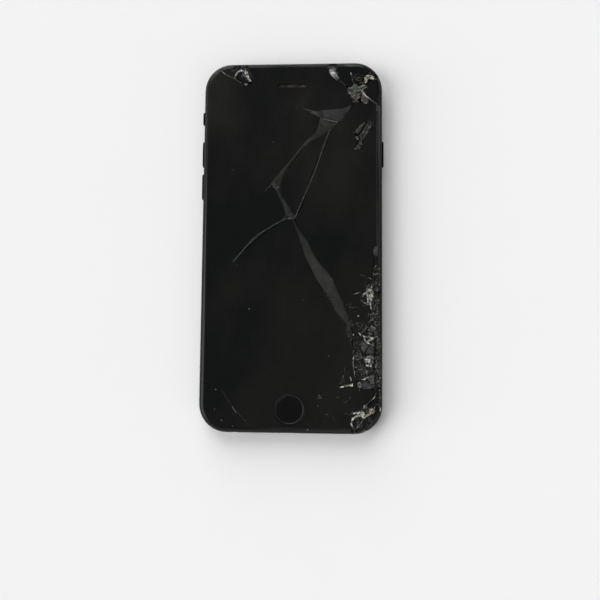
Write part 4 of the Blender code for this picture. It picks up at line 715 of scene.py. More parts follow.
def fracture_glass():
    """Slanted crack faces: frosted grey with fine ribs that run down the slope, painted lighter and bluer
    towards the top end as light and darker lower down as shade.
    """
    colours, _, _ = settings()
    material, tree, shader, coords = start_material("fracture_glass", 0.42)
    split = add_node(tree, "ShaderNodeSeparateXYZ")
    tree.links.new(coords, split.inputs["Vector"])
    # Share of the lit colour by place along the phone: painted light near the top end, painted shade lower
    # down
    near_top = spread(tree, split.outputs["Y"], 0.0, 1.0, from_low=0.043, from_high=0.049)
    base = blend_colours(tree, near_top, tuple(colours.fracture_shaded_low), tuple(colours.fracture_lit_top))
    frost = noise(tree, coords, 420.0, 5.0, (1.0, 0.45, 1.0), 30.0)
    cloud = ramp(tree, frost, [(0.30, (0.62,) * 3), (0.70, (1.35,) * 3)])
    tree.links.new(blend_colours(tree, 1.0, base, cloud, "MULTIPLY"), shader.inputs["Base Color"])
    ribs = noise(tree, coords, 1300.0, 3.0, (1.0, 0.2, 1.0), 55.0)
    bump(tree, shader, ribs, 0.00004)
    return material


def crushed_glass(name, dark, middle, light):
    """Crushed glass of one tone, mottled from crumb to crumb."""
    material, tree, shader, coords = start_material(name, 0.4)
    mottle = noise(tree, coords, MOTTLE_SCALE, 4.0)
    colour_by(tree, shader, mottle, [(0.38, dark), (0.5, middle), (0.62, light)])
    bump(tree, shader, noise(tree, coords, 4000.0, 3.0), 0.00003)
    return material


def crushed_tones():
    """The crushed glass finishes, in the order of TONES."""
    colours, _, _ = settings()
    white = tuple(colours.white_glass)
    return [
        crushed_glass("crushed_white", (0.20, 0.20, 0.19), (0.58, 0.58, 0.55), white),
        crushed_glass("crushed_cream", (0.16, 0.148, 0.10), (0.46, 0.43, 0.30), (0.76, 0.72, 0.54)),
        crushed_glass("crushed_green", (0.022, 0.028, 0.020), (0.062, 0.072, 0.052), (0.15, 0.17, 0.12)),
        crushed_glass("crushed_brown", (0.024, 0.022, 0.018), (0.066, 0.060, 0.050), (0.16, 0.145, 0.12)),
        crushed_glass("crushed_grey", (0.035, 0.037, 0.036), (0.10, 0.105, 0.10), (0.24, 0.24, 0.225)),
        crushed_glass("crushed_faint", (0.022, 0.023, 0.023), (0.043, 0.046, 0.042), (0.090, 0.092, 0.085)),
        crushed_glass("crushed_smoke", (0.012, 0.013, 0.014), (0.026, 0.027, 0.028), (0.05, 0.049, 0.049)),
    ]


def anodised_metal(name, colour, scuffed=True):
    """Black anodised metal with a fine grain, and scuffs where the corners were hit."""
    colours, _, _ = settings()
    material, tree, shader, coords = start_material(name, 0.36, 0.75, ior=1.2)
    shader.inputs["Specular Tint"].default_value = (0.72, 0.72, 0.72, 1.0)
    grain = noise(tree, coords, 9000.0, 2.0)
    base = ramp(tree, grain, [(0.3, scaled(colour, 0.8)), (0.7, scaled(colour, 1.2))])
    if scuffed:
        corner_x = HALF_WIDTH * MM
        corner_y = HALF_LENGTH * MM
        height = 0.0055
        marks = noise(tree, coords, 480.0, 8.0, (1.0, 1.3, 2.0), 25.0)
        scratches = ramp(tree, marks, [(0.58, (0.0,) * 3), (0.66, (1.0,) * 3)])
        for y, radius in ((corner_y, 0.016), (-corner_y, 0.018)):
            mask = product(tree, near_point(tree, coords, (corner_x, y, height), radius), scratches)
            base = blend_colours(tree, mask, base, tuple(colours.bare_metal))
    tree.links.new(base, shader.inputs["Base Color"])
    tree.links.new(spread(tree, noise(tree, coords, 60.0, 4.0), 0.28, 0.46), shader.inputs["Roughness"])
    bump(tree, shader, grain, 0.000006)
    return material


def moulded_plastic(name, colour, roughness=0.5):
    """Matt moulded plastic with a fine spark-eroded grain."""
    material, tree, shader, coords = start_material(name, roughness)
    grain = noise(tree, coords, 5200.0, 3.0)
    colour_by(tree, shader, grain, [(0.3, scaled(colour, 0.75)), (0.7, scaled(colour, 1.3))])
    bump(tree, shader, grain, 0.00001)
    return material


def brushed_steel(name, colour, roughness=0.3):
    """Rolled steel sheet with long fine scratches."""
    material, tree, shader, coords = start_material(name, roughness, 1.0)
    streaks = noise(tree, coords, 2400.0, 3.0, (1.0, 0.04, 1.0))
    colour_by(tree, shader, streaks, [(0.3, scaled(colour, 0.8)), (0.7, scaled(colour, 1.15))])
    bump(tree, shader, streaks, 0.000004)
    return material


def battery_wrap():
    """Black film round the battery, with shallow waves."""
    material, tree, shader, coords = start_material("battery_wrap", 0.38)
    waves = noise(tree, coords, 160.0, 2.0, (1.0, 0.4, 1.0))
    colour_by(tree, shader, waves, [(0.3, (0.02,) * 3), (0.7, (0.036,) * 3)])
    bump(tree, shader, waves, 0.00008)
    return material


def circuit_board():
    """Green solder mask with copper tracks showing faintly through."""
    material, tree, shader, coords = start_material("circuit_board", 0.35, coat=0.3)
    tracks = add_node(tree, "ShaderNodeTexBrick", {"Scale": 600.0, "Mortar Size": 0.05})
    tracks.inputs["Color1"].default_value = (0.008, 0.045, 0.022, 1.0)
    tracks.inputs["Color2"].default_value = (0.006, 0.035, 0.018, 1.0)
    tracks.inputs["Mortar"].default_value = (0.02, 0.08, 0.035, 1.0)
    tree.links.new(coords, tracks.inputs["Vector"])
    tree.links.new(tracks.outputs["Color"], shader.inputs["Base Color"])
    bump(tree, shader, tracks.outputs["Fac"], 0.00001)
    return material


def lens_glass():
    """Deep dark glass with a coating that tints slowly across it."""
    material, tree, shader, coords = start_material("lens_glass", 0.04, coat=1.0, ior=1.7)
    tint = noise(tree, coords, 220.0, 1.0)
    colour_by(tree, shader, tint, [(0.35, (0.004, 0.004, 0.009)), (0.65, (0.010, 0.005, 0.014))])
    return material


def flash_lens():
    """Pale yellow phosphor under a pebbled window."""
    material, tree, shader, coords = start_material("flash_lens", 0.2, coat=0.6)
    pebbles = cells(tree, coords, 2600.0)
    colour_by(tree, shader, pebbles, [(0.0, (0.78, 0.66, 0.30)), (0.6, (0.55, 0.50, 0.36))])
    bump(tree, shader, pebbles, 0.00006)
    return material


def seal_foam():
    """Black foam with open cells."""
    material, tree, shader, coords = start_material("seal_foam", 0.85)
    pores = cells(tree, coords, 5000.0)
    colour_by(tree, shader, pores, [(0.0, (0.004,) * 3), (0.7, (0.018,) * 3)])
    bump(tree, shader, pores, 0.00008)
    return material


def earpiece_wire():
    """Woven wire, dark and patched with brown dust."""
    material, tree, shader, coords = start_material("earpiece_wire", 0.5, 0.4)
    dirt = noise(tree, coords, 650.0, 3.0)
    stops = [(0.40, (0.012, 0.012, 0.011)), (0.58, (0.075, 0.062, 0.042)), (0.72, (0.16, 0.12, 0.075))]
    colour_by(tree, shader, dirt, stops)
    bump(tree, shader, dirt, 0.00003)
    return material


def node_copy(name):
    """A bmesh in metres of a CAD node, with its loose triangles merged."""
    bm = bmesh.new()
    bm.from_mesh(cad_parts[name].data)
    bmesh.ops.remove_doubles(bm, verts=bm.verts, dist=0.000001)
    return bm


def finish_piece(bm, name, materials, body, replaced=(), smooth_angle=None):
    """Turn a bmesh in metres into a finished piece that rides on a body and may replace CAD nodes."""
    mesh = bpy.data.meshes.new(name)
    bm.to_mesh(mesh)
    bm.free()
    for material in materials:
        mesh.materials.append(material)
    if smooth_angle is not None:
        level = 0.9999
        mesh.shade_smooth()
        mesh.set_sharp_from_angle(angle=math.radians(smooth_angle))
        for polygon in mesh.polygons:
            polygon.use_smooth = abs(polygon.normal.z) < level
    piece = bpy.data.objects.new(name, mesh)
    bpy.context.scene.collection.objects.link(piece)
    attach(piece, body)
    if replaced:
        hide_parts(*replaced)


def redress(node, name, material, smooth_angle=30, body="phone_body"):
    """Replace a CAD node with a smoothly shaded copy in a new finish."""
    finish_piece(node_copy(node), name, [material], body, (node,), smooth_angle)


def dress_node(name, material):
    """Give a CAD node that stays its finish."""
    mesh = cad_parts[name].data
    mesh.materials.clear()
    mesh.materials.append(material)


def to_metres(bm):
    """Scale a millimetre bmesh to metres."""
    bmesh.ops.scale(bm, verts=bm.verts, vec=(MM, MM, MM))
    return bm


def join_part(bm, part, slot):
    """Add a small bmesh to a larger one, with all its faces on one material slot."""
    for face in part.faces:
        face.material_index = slot
    mesh = bpy.data.meshes.new("part")
    part.to_mesh(mesh)
    part.free()
    bm.from_mesh(mesh)
    bpy.data.meshes.remove(mesh)


def add_slab(bm, outline, low, high, lean=(0.0, 0.0), middle=(0.0, 0.0)):
    """Add a closed slab between two levels, whose top may lean about a middle point."""
    tops = [high + lean[0] * (x - middle[0]) + lean[1] * (y - middle[1]) for x, y in outline]
    floor = [bm.verts.new((x, y, low)) for x, y in outline]
    roof = [bm.verts.new((x, y, top)) for (x, y), top in zip(outline, tops)]
    bm.faces.new(floor)
    bm.faces.new(roof)
    for index in range(len(outline)):
        bm.faces.new((floor[index - 1], floor[index], roof[index], roof[index - 1]))


def add_rod(bm, start, end, radius):
    """Add a six-sided rod between two points."""
    start = Vector(start)
    along = Vector(end) - start
    turn = Vector((0.0, 0.0, 1.0)).rotation_difference(along).to_matrix().to_4x4()
    bmesh.ops.create_cone(
        bm,
        cap_ends=True,
        segments=6,
        radius1=radius,
        radius2=radius,
        depth=along.length,
        matrix=Matrix.Translation(start + along / 2) @ turn,
    )


def add_block(bm, low, high, bevel):
    """Add a box between two corners with soft edges, its faces in the same order each run."""
    low = Vector(low)
    high = Vector(high)
    size = high - low
    place = Matrix.Translation((low + high) / 2) @ Matrix.Diagonal((*size, 1.0))
    block = bmesh.new()
    bmesh.ops.create_cube(block, size=1.0, matrix=place)
    edges = list(block.edges)
    bmesh.ops.bevel(block, geom=edges, offset=bevel, segments=2, profile=0.5, affect="EDGES", material=-1)
    block.verts.index_update()
    verts = [bm.verts.new(vert.co) for vert in block.verts]
    loops = []
    for face in block.faces:
        corners = [vert.index for vert in face.verts]
        start = corners.index(min(corners))
        loops.append(corners[start:] + corners[:start])
    block.free()
    for corners in sorted(loops):
        bm.faces.new([verts[index] for index in corners])


def edge_distance(x, y):
    """Distance from the phone's outline inwards, in millimetres."""
    away_x = max(abs(x) - (HALF_WIDTH - CORNER_RADIUS), 0.0)
    away_y = max(abs(y) - (HALF_LENGTH - CORNER_RADIUS), 0.0)
    if away_x and away_y:
        return CORNER_RADIUS - math.hypot(away_x, away_y)
    return min(HALF_WIDTH - abs(x), HALF_LENGTH - abs(y))


def resting_tree():
    """A search tree of every solid that a crumb can lie on."""
    bm = bmesh.new()
    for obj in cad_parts.values():
        bm.from_mesh(obj.data)
    tree = BVHTree.FromBMesh(bm)
    bm.free()
    return tree


def rest_level(tree, x, y, reach):
    """The highest surface under a point and close round it, in millimetres."""
    start_height = 0.02
    down = Vector((0.0, 0.0, -1.0))
    level = 0.0
    for step_x, step_y in ((0, 0), (reach, 0), (-reach, 0), (0, reach), (0, -reach)):
        place = Vector(((x + step_x) * MM, (y + step_y) * MM, start_height))
        hit = tree.ray_cast(place, down)[0]
        if hit:
            level = max(level, hit.z / MM)
    return level


def bridge_level(x, y):
    """How high splinters jammed in a crack sit: almost level with the glass, lower towards the rim."""
    return GLASS_TOP - BRIDGE_SINK - RIM_DROP * min(1.0, max(0.0, RIM_WIDTH - edge_distance(x, y)))


def smooth_line(points, spacing):
    """Points about one spacing apart on a smooth curve through the given ones."""
    ends = [points[0]] + list(points) + [points[-1]]
    line = []
    for before, here, there, after in zip(ends, ends[1:], ends[2:], ends[3:]):
        steps = max(1, round(math.dist(here, there) / spacing))
        for step in range(steps):
            t = step / steps
            weights = (
                -0.5 * t + t * t - 0.5 * t**3,
                1 - 2.5 * t * t + 1.5 * t**3,
                0.5 * t + 2 * t * t - 1.5 * t**3,
                -0.5 * t * t + 0.5 * t**3,
            )
            corners = (before, here, there, after)
            line.append(tuple(sum(w * c[axis] for w, c in zip(weights, corners)) for axis in (0, 1)))
    return line + [tuple(points[-1])]


def heading_at(line, index):
    """Direction of a line at one of its points, in radians."""
    before = line[max(index - 1, 0)]
    after = line[min(index + 1, len(line) - 1)]
    return math.atan2(after[1] - before[1], after[0] - before[0])


def shift_line(line, aside):
    """Move a line to its left by a distance."""
    moved = []
    for index, (x, y) in enumerate(line):
        heading = heading_at(line, index)
        moved.append((x - aside * math.sin(heading), y + aside * math.cos(heading)))
    return moved


def add_ridge(part, line, width, height, tree, rng):
    """Sweep a low three-sided ridge along a line, ragged, and thin at both ends."""
    sink = 0.08
    end_width = 0.3
    growth = 3.0
    places = []
    last = len(line) - 1
    for index, (x, y) in enumerate(line):
        share = index / last
        taper = min(1.0, end_width + growth * min(share, 1 - share))
        rest = max(rest_level(tree, x, y, width / 2), bridge_level(x, y))
        level = min(rest, HIGHEST - height) - sink
        across = width * taper * rng.uniform(0.7, 1.25)
        rise = (height * rng.uniform(0.6, 1.0) + sink) * (0.5 + taper / 2)
        turn = Matrix.Rotation(heading_at(line, index), 4, "Z")
        places.append(Matrix.Translation((x, y, level)) @ turn @ Matrix.Diagonal((1.0, across, rise, 1.0)))
    crest = rng.uniform(-0.25, 0.25)
    profile = ((0, -0.5, 0), (0, 0.5, 0), (0, crest, 1))
    face = part.faces.new([part.verts.new(places[0] @ Vector(corner)) for corner in profile])
    for here, there in zip(places, places[1:]):
        grown = bmesh.ops.extrude_face_region(part, geom=[face])["geom"]
        face = next(item for item in grown if isinstance(item, bmesh.types.BMFace))
        bmesh.ops.transform(part, matrix=there @ here.inverted(), verts=list(face.verts))
    bmesh.ops.recalc_face_normals(part, faces=part.faces)


def add_crumb(part, x, y, size, height, heading, tree, rng):
    """Add one faceted crumb of glass, partly sunk in what it lies on."""
    crack_drop = 0.2
    headroom = 0.75
    lift = 0.15
    raggedness = 0.14
    length = size * rng.uniform(0.7, 1.6)
    width = size * rng.uniform(0.45, 0.9)
    rise = height * rng.uniform(0.7, 1.3)
    rest = max(rest_level(tree, x, y, size / 2), bridge_level(x, y) - crack_drop)
    level = min(rest, HIGHEST - headroom * rise)
    place = (
        Matrix.Translation((x, y, level + lift * rise))
        @ Matrix.Rotation(heading, 4, "Z")
        @ Matrix.Rotation(rng.uniform(-0.3, 0.3), 4, "X")
        @ Matrix.Diagonal((length, width, rise, 1.0))
    )
    nudge = Vector((length, width, 0.5 * rise)) * raggedness
    for vert in bmesh.ops.create_icosphere(part, subdivisions=1, radius=0.5, matrix=place)["verts"]:
        vert.co += Vector(rng.uniform(-n, n) for n in nudge)


def add_strokes(bm, strokes, tree, rng):
    """Add every stroke as a bundle of thin fibres, with a few loose crumbs along it."""
    spacing = 0.35
    wander = 0.03
    _, sizes, _ = settings()
    size = sizes.crumb / MM
    height = sizes.crumb_height / MM
    for tone, width, points in strokes:
        line = smooth_line(points, spacing)
        count = max(1, round(width * MM / sizes.fibre))
        spare = max(0, (len(line) - 3) // 5)
        for index in range(count):
            part = bmesh.new()
            aside = ((index + 0.5) / count - 0.5) * width
            first = rng.randint(0, spare)
            last = len(line) - rng.randint(0, spare)
            fibre = shift_line(line[first:last], aside + rng.gauss(0.0, wander))
            add_ridge(part, fibre, width / count * rng.uniform(0.8, 1.3), height, tree, rng)
            join_part(bm, part, TONES.index(rng.choice(BLENDS[tone]) if index else tone))
        part = bmesh.new()
        for x, y in line[::2]:
            side = rng.gauss(0.0, 0.4) * width
            crumb = 0.7 * min(size, width)
            add_crumb(part, x + side, y - side, crumb, height, rng.uniform(0.0, math.pi), tree, rng)
        join_part(bm, part, TONES.index(tone))


def add_patches(bm, patches, tree, rng):
    """Scatter crumbs evenly over oval patches."""
    _, sizes, _ = settings()
    size = sizes.crumb / MM
    height = sizes.crumb_height / MM
    for tone, centre, half, turn, count in patches:
        angle = math.radians(turn)
        for shade in BLENDS[tone]:
            part = bmesh.new()
            for _ in range(max(1, count // len(BLENDS[tone]))):
                reach = math.sqrt(rng.random())
                bearing = rng.uniform(0.0, math.tau)
                u = half[0] * reach * math.cos(bearing)
                v = half[1] * reach * math.sin(bearing)
                x = centre[0] + u * math.cos(angle) - v * math.sin(angle)
                y = centre[1] + u * math.sin(angle) + v * math.cos(angle)
                if edge_distance(x, y) > CRUMB_MARGIN:
                    crumb = size * rng.uniform(0.5, 1.35)
                    add_crumb(part, x, y, crumb, height, rng.uniform(0.0, math.pi), tree, rng)
            join_part(bm, part, TONES.index(shade))


def add_flake(bm, tone, outline, tree, rng):
    """Add a thin flat flake, a little higher at one side."""
    steepest = 0.012
    sink = 0.1
    height = 0.05
    part = bmesh.new()
    middle = [sum(point[axis] for point in outline) / len(outline) for axis in (0, 1)]
    level = rest_level(tree, *middle, 0.5)
    lean = [rng.uniform(-steepest, steepest) for _ in middle]
    add_slab(part, outline, level - sink, level + height, lean, middle)
    bmesh.ops.recalc_face_normals(part, faces=part.faces)
    join_part(bm, part, TONES.index(tone))


def add_painted_light_line(bm, tone, width, points):
    """Add a flat facet that bridges a crack, pointed at both ends; its tone paints the light on the crack's
    slanted face.
    """
    spacing = 0.6
    sink = 0.1
    height = 0.02
    line = smooth_line(points, spacing)
    left = shift_line(line, width / 2)
    right = shift_line(line, -width / 2)
    outline = [line[0]] + left[1:-1] + [line[-1]] + right[-2:0:-1]
    part = bmesh.new()
    add_slab(part, outline, GLASS_TOP - sink, GLASS_TOP + height)
    bmesh.ops.recalc_face_normals(part, faces=part.faces)
    join_part(bm, part, TONES.index(tone))


class PHONE_OT_housing(bpy.types.Operator):
    """Finish the metal shell and the plastic bands across its back."""

    bl_idname = "phone.housing"
    bl_label = "Housing"

    def execute(self, context):
        colours, _, _ = settings()
        metal = anodised_metal("anodised_housing", tuple(colours.metal))
        redress("rear_housing", "housing_shell", metal)
        band = moulded_plastic("band_plastic", (0.022, 0.022, 0.023))
        for end in ("top", "bottom"):
            redress(f"antenna_band_{end}", f"back_band_{end}", band)
        return {"FINISHED"}


class PHONE_OT_keys(bpy.types.Operator):
    """Finish the side keys, the ring switch and the SIM tray."""

    bl_idname = "phone.keys"
    bl_label = "Keys and Tray"

    def execute(self, context):
        colours, _, _ = settings()
        metal = anodised_metal("anodised_keys", scaled(colours.metal, 0.85), scuffed=False)
        pieces = (
            ("power_button", "power_key_cap", "power_key"),
            ("volume_up_button", "volume_up_cap", "volume_up_key"),
            ("volume_down_button", "volume_down_cap", "volume_down_key"),
            ("ring_switch", "ring_switch_lever", "ring_lever"),
            ("sim_tray", "card_tray_drawer", "card_tray"),
        )
        for node, name, body in pieces:
            redress(node, name, metal, body=body)
        return {"FINISHED"}


class PHONE_OT_bottom_edge(bpy.types.Operator):
    """Finish the charge port, headphone socket and screws, and put wire mesh behind the speaker holes."""

    bl_idname = "phone.bottom_edge"
    bl_label = "Bottom Edge"

    def execute(self, context):
        steel = brushed_steel("port_steel", (0.42, 0.42, 0.43))
        plastic = moulded_plastic("port_plastic", (0.018, 0.018, 0.019))
        screw = anodised_metal("screw_metal", (0.05, 0.05, 0.052), scuffed=False)
        finishes = (
            ("charge_port_shell", "port_sleeve", steel, "steel"),
            ("charge_port_tongue", "port_tongue", plastic, "black_plastic"),
            ("headphone_socket", "headphone_barrel", plastic, "black_plastic"),
            ("bottom_screw_left", "screw_left", screw, "key_metal"),
            ("bottom_screw_right", "screw_right", screw, "key_metal"),
        )
        for node, name, material, slot in finishes:
            redress(node, name, material)
        self.speaker_mesh()
        return {"FINISHED"}

    @staticmethod
    def speaker_mesh():
        """Cross five wires with five more behind each speaker hole."""
        first_x = 9.7
        pitch = 2.6
        level = 3.4
        reach = 0.85
        gap = 0.3
        radius = 0.05
        depth = -HALF_LENGTH + 1.5
        behind = depth + 0.09
        bm = bmesh.new()
        for hole in range(6):
            x = first_x + pitch * hole
            for step in range(-2, 3):
                offset = step * gap
                add_rod(bm, (x + offset, depth, level - reach), (x + offset, depth, level + reach), radius)
                add_rod(bm, (x - reach, behind, level + offset), (x + reach, behind, level + offset), radius)
        wire = brushed_steel("mesh_wire", (0.06, 0.06, 0.06))
        finish_piece(to_metres(bm), "speaker_mesh", [wire], "phone_body", (), 40)


class PHONE_OT_rear_camera(bpy.types.Operator):
    """Finish the stepped lens behind its ring, and the flash window."""

    bl_idname = "phone.rear_camera"
    bl_label = "Rear Camera"

    def execute(self, context):
        ring = brushed_steel("camera_ring_metal", (0.10, 0.10, 0.105), 0.25)
        redress("rear_camera_ring", "camera_ring", ring, 25)
        redress("rear_camera_window", "camera_lens", lens_glass(), 22)
        redress("flash_window", "flash_lens", flash_lens())
        return {"FINISHED"}


class PHONE_OT_inner_parts(bpy.types.Operator):
    """Finish the pieces inside the housing."""

    bl_idname = "phone.inner_parts"
    bl_label = "Inner Parts"

    def execute(self, context):
        steel = brushed_steel("sheet_steel", (0.52, 0.52, 0.53))
        plastic = moulded_plastic("inner_plastic", (0.016, 0.016, 0.017))
        lens = lens_glass()
        groups = (
            (steel, ("side_key_bracket_left", "side_key_bracket_right", "sim_reader", "vibration_motor")),
            (steel, ("board_shield_large", "display_shield", "home_button_bracket")),
            (plastic, ("loudspeaker", "rear_camera_module", "earpiece_speaker", "display_frame")),
            (battery_wrap(), ("battery",)),
            (circuit_board(), ("logic_board",)),
            (lens, ("front_camera", "proximity_sensor")),
            (seal_foam(), ("display_seal",)),
            (moulded_plastic("dead_display", (0.006, 0.006, 0.007), 0.25), ("lcd_panel",)),
        )
        for material, names in groups:
            for name in names:
                dress_node(name, material)
        return {"FINISHED"}


class PHONE_OT_home_button(bpy.types.Operator):
    """Finish the home button's dished cap and its thin metal ring."""

    bl_idname = "phone.home_button"
    bl_label = "Home Button"

    def execute(self, context):
        ring = anodised_metal("home_ring_metal", (0.026, 0.028, 0.029), scuffed=False)
        # The cap gets a darker copy of the screen glass: painted shade that offsets the bright reflections in
        # its dish
        glass = screen_glass("home_glass", share=0.6)
        redress("home_button_ring", "home_ring", ring, 25, "home_button")
        redress("home_button_cap", "home_cap", glass, 25, "home_button")
        return {"FINISHED"}


class PHONE_OT_earpiece(bpy.types.Operator):
    """Weave the earpiece mesh from two layers of wire over a backing strip."""

    bl_idname = "phone.earpiece"
    bl_label = "Earpiece"

    def execute(self, context):
        _, sizes, _ = settings()
        low, high = (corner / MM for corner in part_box("earpiece_mesh"))
        pitch = sizes.weave / MM
        wire = 0.28 * pitch
        half_height = (high.y - low.y) / 2
        middle = (high.y + low.y) / 2
        bevel = 0.05
        least = 0.01
        bm = bmesh.new()
        backing_top = high.z - 4 * wire
        add_block(bm, (low.x + half_height, low.y, low.z), (high.x - half_height, high.y, backing_top), bevel)
        count = int((high.x - low.x) / pitch)
        for index in range(count):
            x = low.x + (index + 0.5) * pitch
            inside = max(0.0, abs(x) - (high.x - half_height))
            reach = math.sqrt(max(half_height**2 - inside**2, least))
            add_rod(bm, (x, middle - reach, high.z - wire), (x, middle + reach, high.z - wire), wire)
        rows = int(2 * half_height / pitch)
        for index in range(rows):
            y = middle + (index - (rows - 1) / 2) * pitch
            reach = high.x - half_height + math.sqrt(max(half_height**2 - (y - middle) ** 2, least))
            add_rod(bm, (-reach, y, high.z - 3 * wire), (reach, y, high.z - 3 * wire), wire)
        metal = [earpiece_wire()]
        replaced = ("earpiece_mesh",)
        finish_piece(to_metres(bm), "earpiece_weave", metal, "phone_body", replaced, 40)
        return {"FINISHED"}


class PHONE_OT_glass(bpy.types.Operator):
    """Finish every whole shard: polished black outside, frosted on its broken faces."""

    bl_idname = "phone.glass"
    bl_label = "Broken Glass"

    def execute(self, context):
        polished = screen_glass("screen_glass")
        fracture = fracture_glass()
        ground_edge = screen_glass("edge_glass", ior=1.24)
        names = [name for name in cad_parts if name.startswith("glass_")]
        crushed_names = ("glass_corner_wedge", "glass_lump_upper", "glass_lump_lower", "glass_lump_side")
        for name in names:
            if name in crushed_names:
                continue
            bm = node_copy(name)
            for face in bm.faces:
                face.material_index = self.finish_of(face, name)
            used = 1 + max(face.material_index for face in bm.faces)
            finishes = [polished, fracture, ground_edge][:used]
            shard = name.replace("glass_", "shard_")
            finish_piece(bm, shard, finishes, "phone_body", (name,), 28)
        return {"FINISHED"}

    @staticmethod
    def finish_of(face, name):
        """0 for a polished face, 1 for a crack face and 2 for the rounded outer edge."""
        polished, cracked, rounded = range(3)
        upright = 0.98
        flatness = 0.00005
        if name.startswith("glass_sliver"):
            return cracked
        if name.startswith(("glass_flake", "glass_triangle")):
            return cracked if abs(face.normal.z) < upright else polished
        levels = [vert.co.z for vert in face.verts]
        if max(levels) - min(levels) < flatness:
            return polished
        place = face.calc_center_median() / MM
        outward = face.normal.x * place.x + face.normal.y * place.y > 0
        return rounded if edge_distance(place.x, place.y) < GLASS_EDGE_BAND and outward else cracked


class PHONE_OT_crushed_glass(bpy.types.Operator):
    """Break up the crushed lumps, and add splinters, crumbs, flakes and grit along the cracks."""

    bl_idname = "phone.crushed_glass"
    bl_label = "Crushed Glass"

    def execute(self, context):
        _, sizes, _ = settings()
        tones = crushed_tones()
        tree = resting_tree()
        rng = random.Random(sizes.seed)
        self.lumps(tones, rng)
        groups = (
            ("splinters_top_left", TOP_LEFT_STROKES, ()),
            ("splinters_top_right", TOP_RIGHT_STROKES, TOP_CRUMBS),
            ("splinters_right_edge", RIGHT_EDGE_STROKES, EDGE_CRUMBS),
            ("splinters_bottom_right", BOTTOM_RIGHT_STROKES, BOTTOM_CRUMBS),
            ("splinters_bottom_left", BOTTOM_LEFT_STROKES, ()),
            ("splinters_ribbon", SLIVER_STROKES, SLIVER_CRUMBS),
            ("splinters_centre", CENTRE_STROKES, CENTRE_CRUMBS),
        )
        for name, strokes, patches in groups:
            bm = bmesh.new()
            add_strokes(bm, strokes, tree, rng)
            add_patches(bm, patches, tree, rng)
            finish_piece(to_metres(bm), name, tones, "phone_body")
        bm = bmesh.new()
        for tone, outline in FLAKES:
            add_flake(bm, tone, outline, tree, rng)
        for tone, width, points in PAINTED_LIGHT_LINES:
            add_painted_light_line(bm, tone, width, points)
        speck_height = 0.2
        for tone, (x, y), size in SPECKS:
            part = bmesh.new()
            add_crumb(part, x, y, size, speck_height, rng.uniform(0.0, math.pi), tree, rng)
            join_part(bm, part, TONES.index(tone))
        finish_piece(to_metres(bm), "loose_flakes", tones, "phone_body")
        return {"FINISHED"}

    @staticmethod
    def lumps(tones, rng):
        """Replace the crushed solids with rough faceted copies of themselves."""
        grit = 0.00007
        ripple = 0.00005
        sideways = 0.00005
        for node, tone in (
            ("glass_corner_wedge", "grey"),
            ("glass_lump_upper", "green"),
            ("glass_lump_lower", "brown"),
            ("glass_lump_side", "brown"),
        ):
            bm = node_copy(node)
            bmesh.ops.triangulate(bm, faces=bm.faces)
            bmesh.ops.subdivide_edges(bm, edges=bm.edges, cuts=5, use_grid_fill=True)
            for vert in bm.verts:
                fold = math.prod(math.sin(a * vert.co.x + b * vert.co.y) for a, b in FOLD_WAVES)
                vert.co.z -= rng.uniform(0.0, grit) + ripple * (1 + fold)
                vert.co.x += rng.uniform(-sideways, sideways)
                vert.co.y += rng.uniform(-sideways, sideways)
            bmesh.ops.triangulate(bm, faces=bm.faces)
            name = node.replace("glass_", "crushed_")
            finish_piece(bm, name, [tones[TONES.index(tone)]], "phone_body", (node,))


class PHONE_OT_feathers(bpy.types.Operator):
    """Add the feathered slivers along the wide band's lower left edge."""

    bl_idname = "phone.feathers"
    bl_label = "Feathered Edge"

    def execute(self, context):
        overlap = 0.12
        sink = 0.03
        height = 0.02
        _, sizes, _ = settings()
        rng = random.Random(sizes.seed + 1)
        bm = bmesh.new()
        line = smooth_line(FEATHERED_EDGE, sizes.feather / MM)
        for index, (x, y) in enumerate(line[:-1]):
            length = rng.uniform(0.5, 1.5) * math.sin(math.pi * (index + 2) / (len(line) + 3))
            width = rng.uniform(0.3, 0.55)
            heading = math.radians(rng.uniform(205, 235))
            tip = (x + length * math.cos(heading), y + length * math.sin(heading))
            next_x, next_y = line[index + 1]
            slope = Vector((next_x - x, next_y - y)).normalized() * width
            outline = [(x + overlap, y), tip, (x + slope.x + overlap, y + slope.y)]
            add_slab(bm, outline, GLASS_TOP - sink, GLASS_TOP + height)
        bmesh.ops.recalc_face_normals(bm, faces=bm.faces)
        fracture = bpy.data.materials["fracture_glass"]
        finish_piece(to_metres(bm), "band_feathers", [fracture], "phone_body")
        return {"FINISHED"}


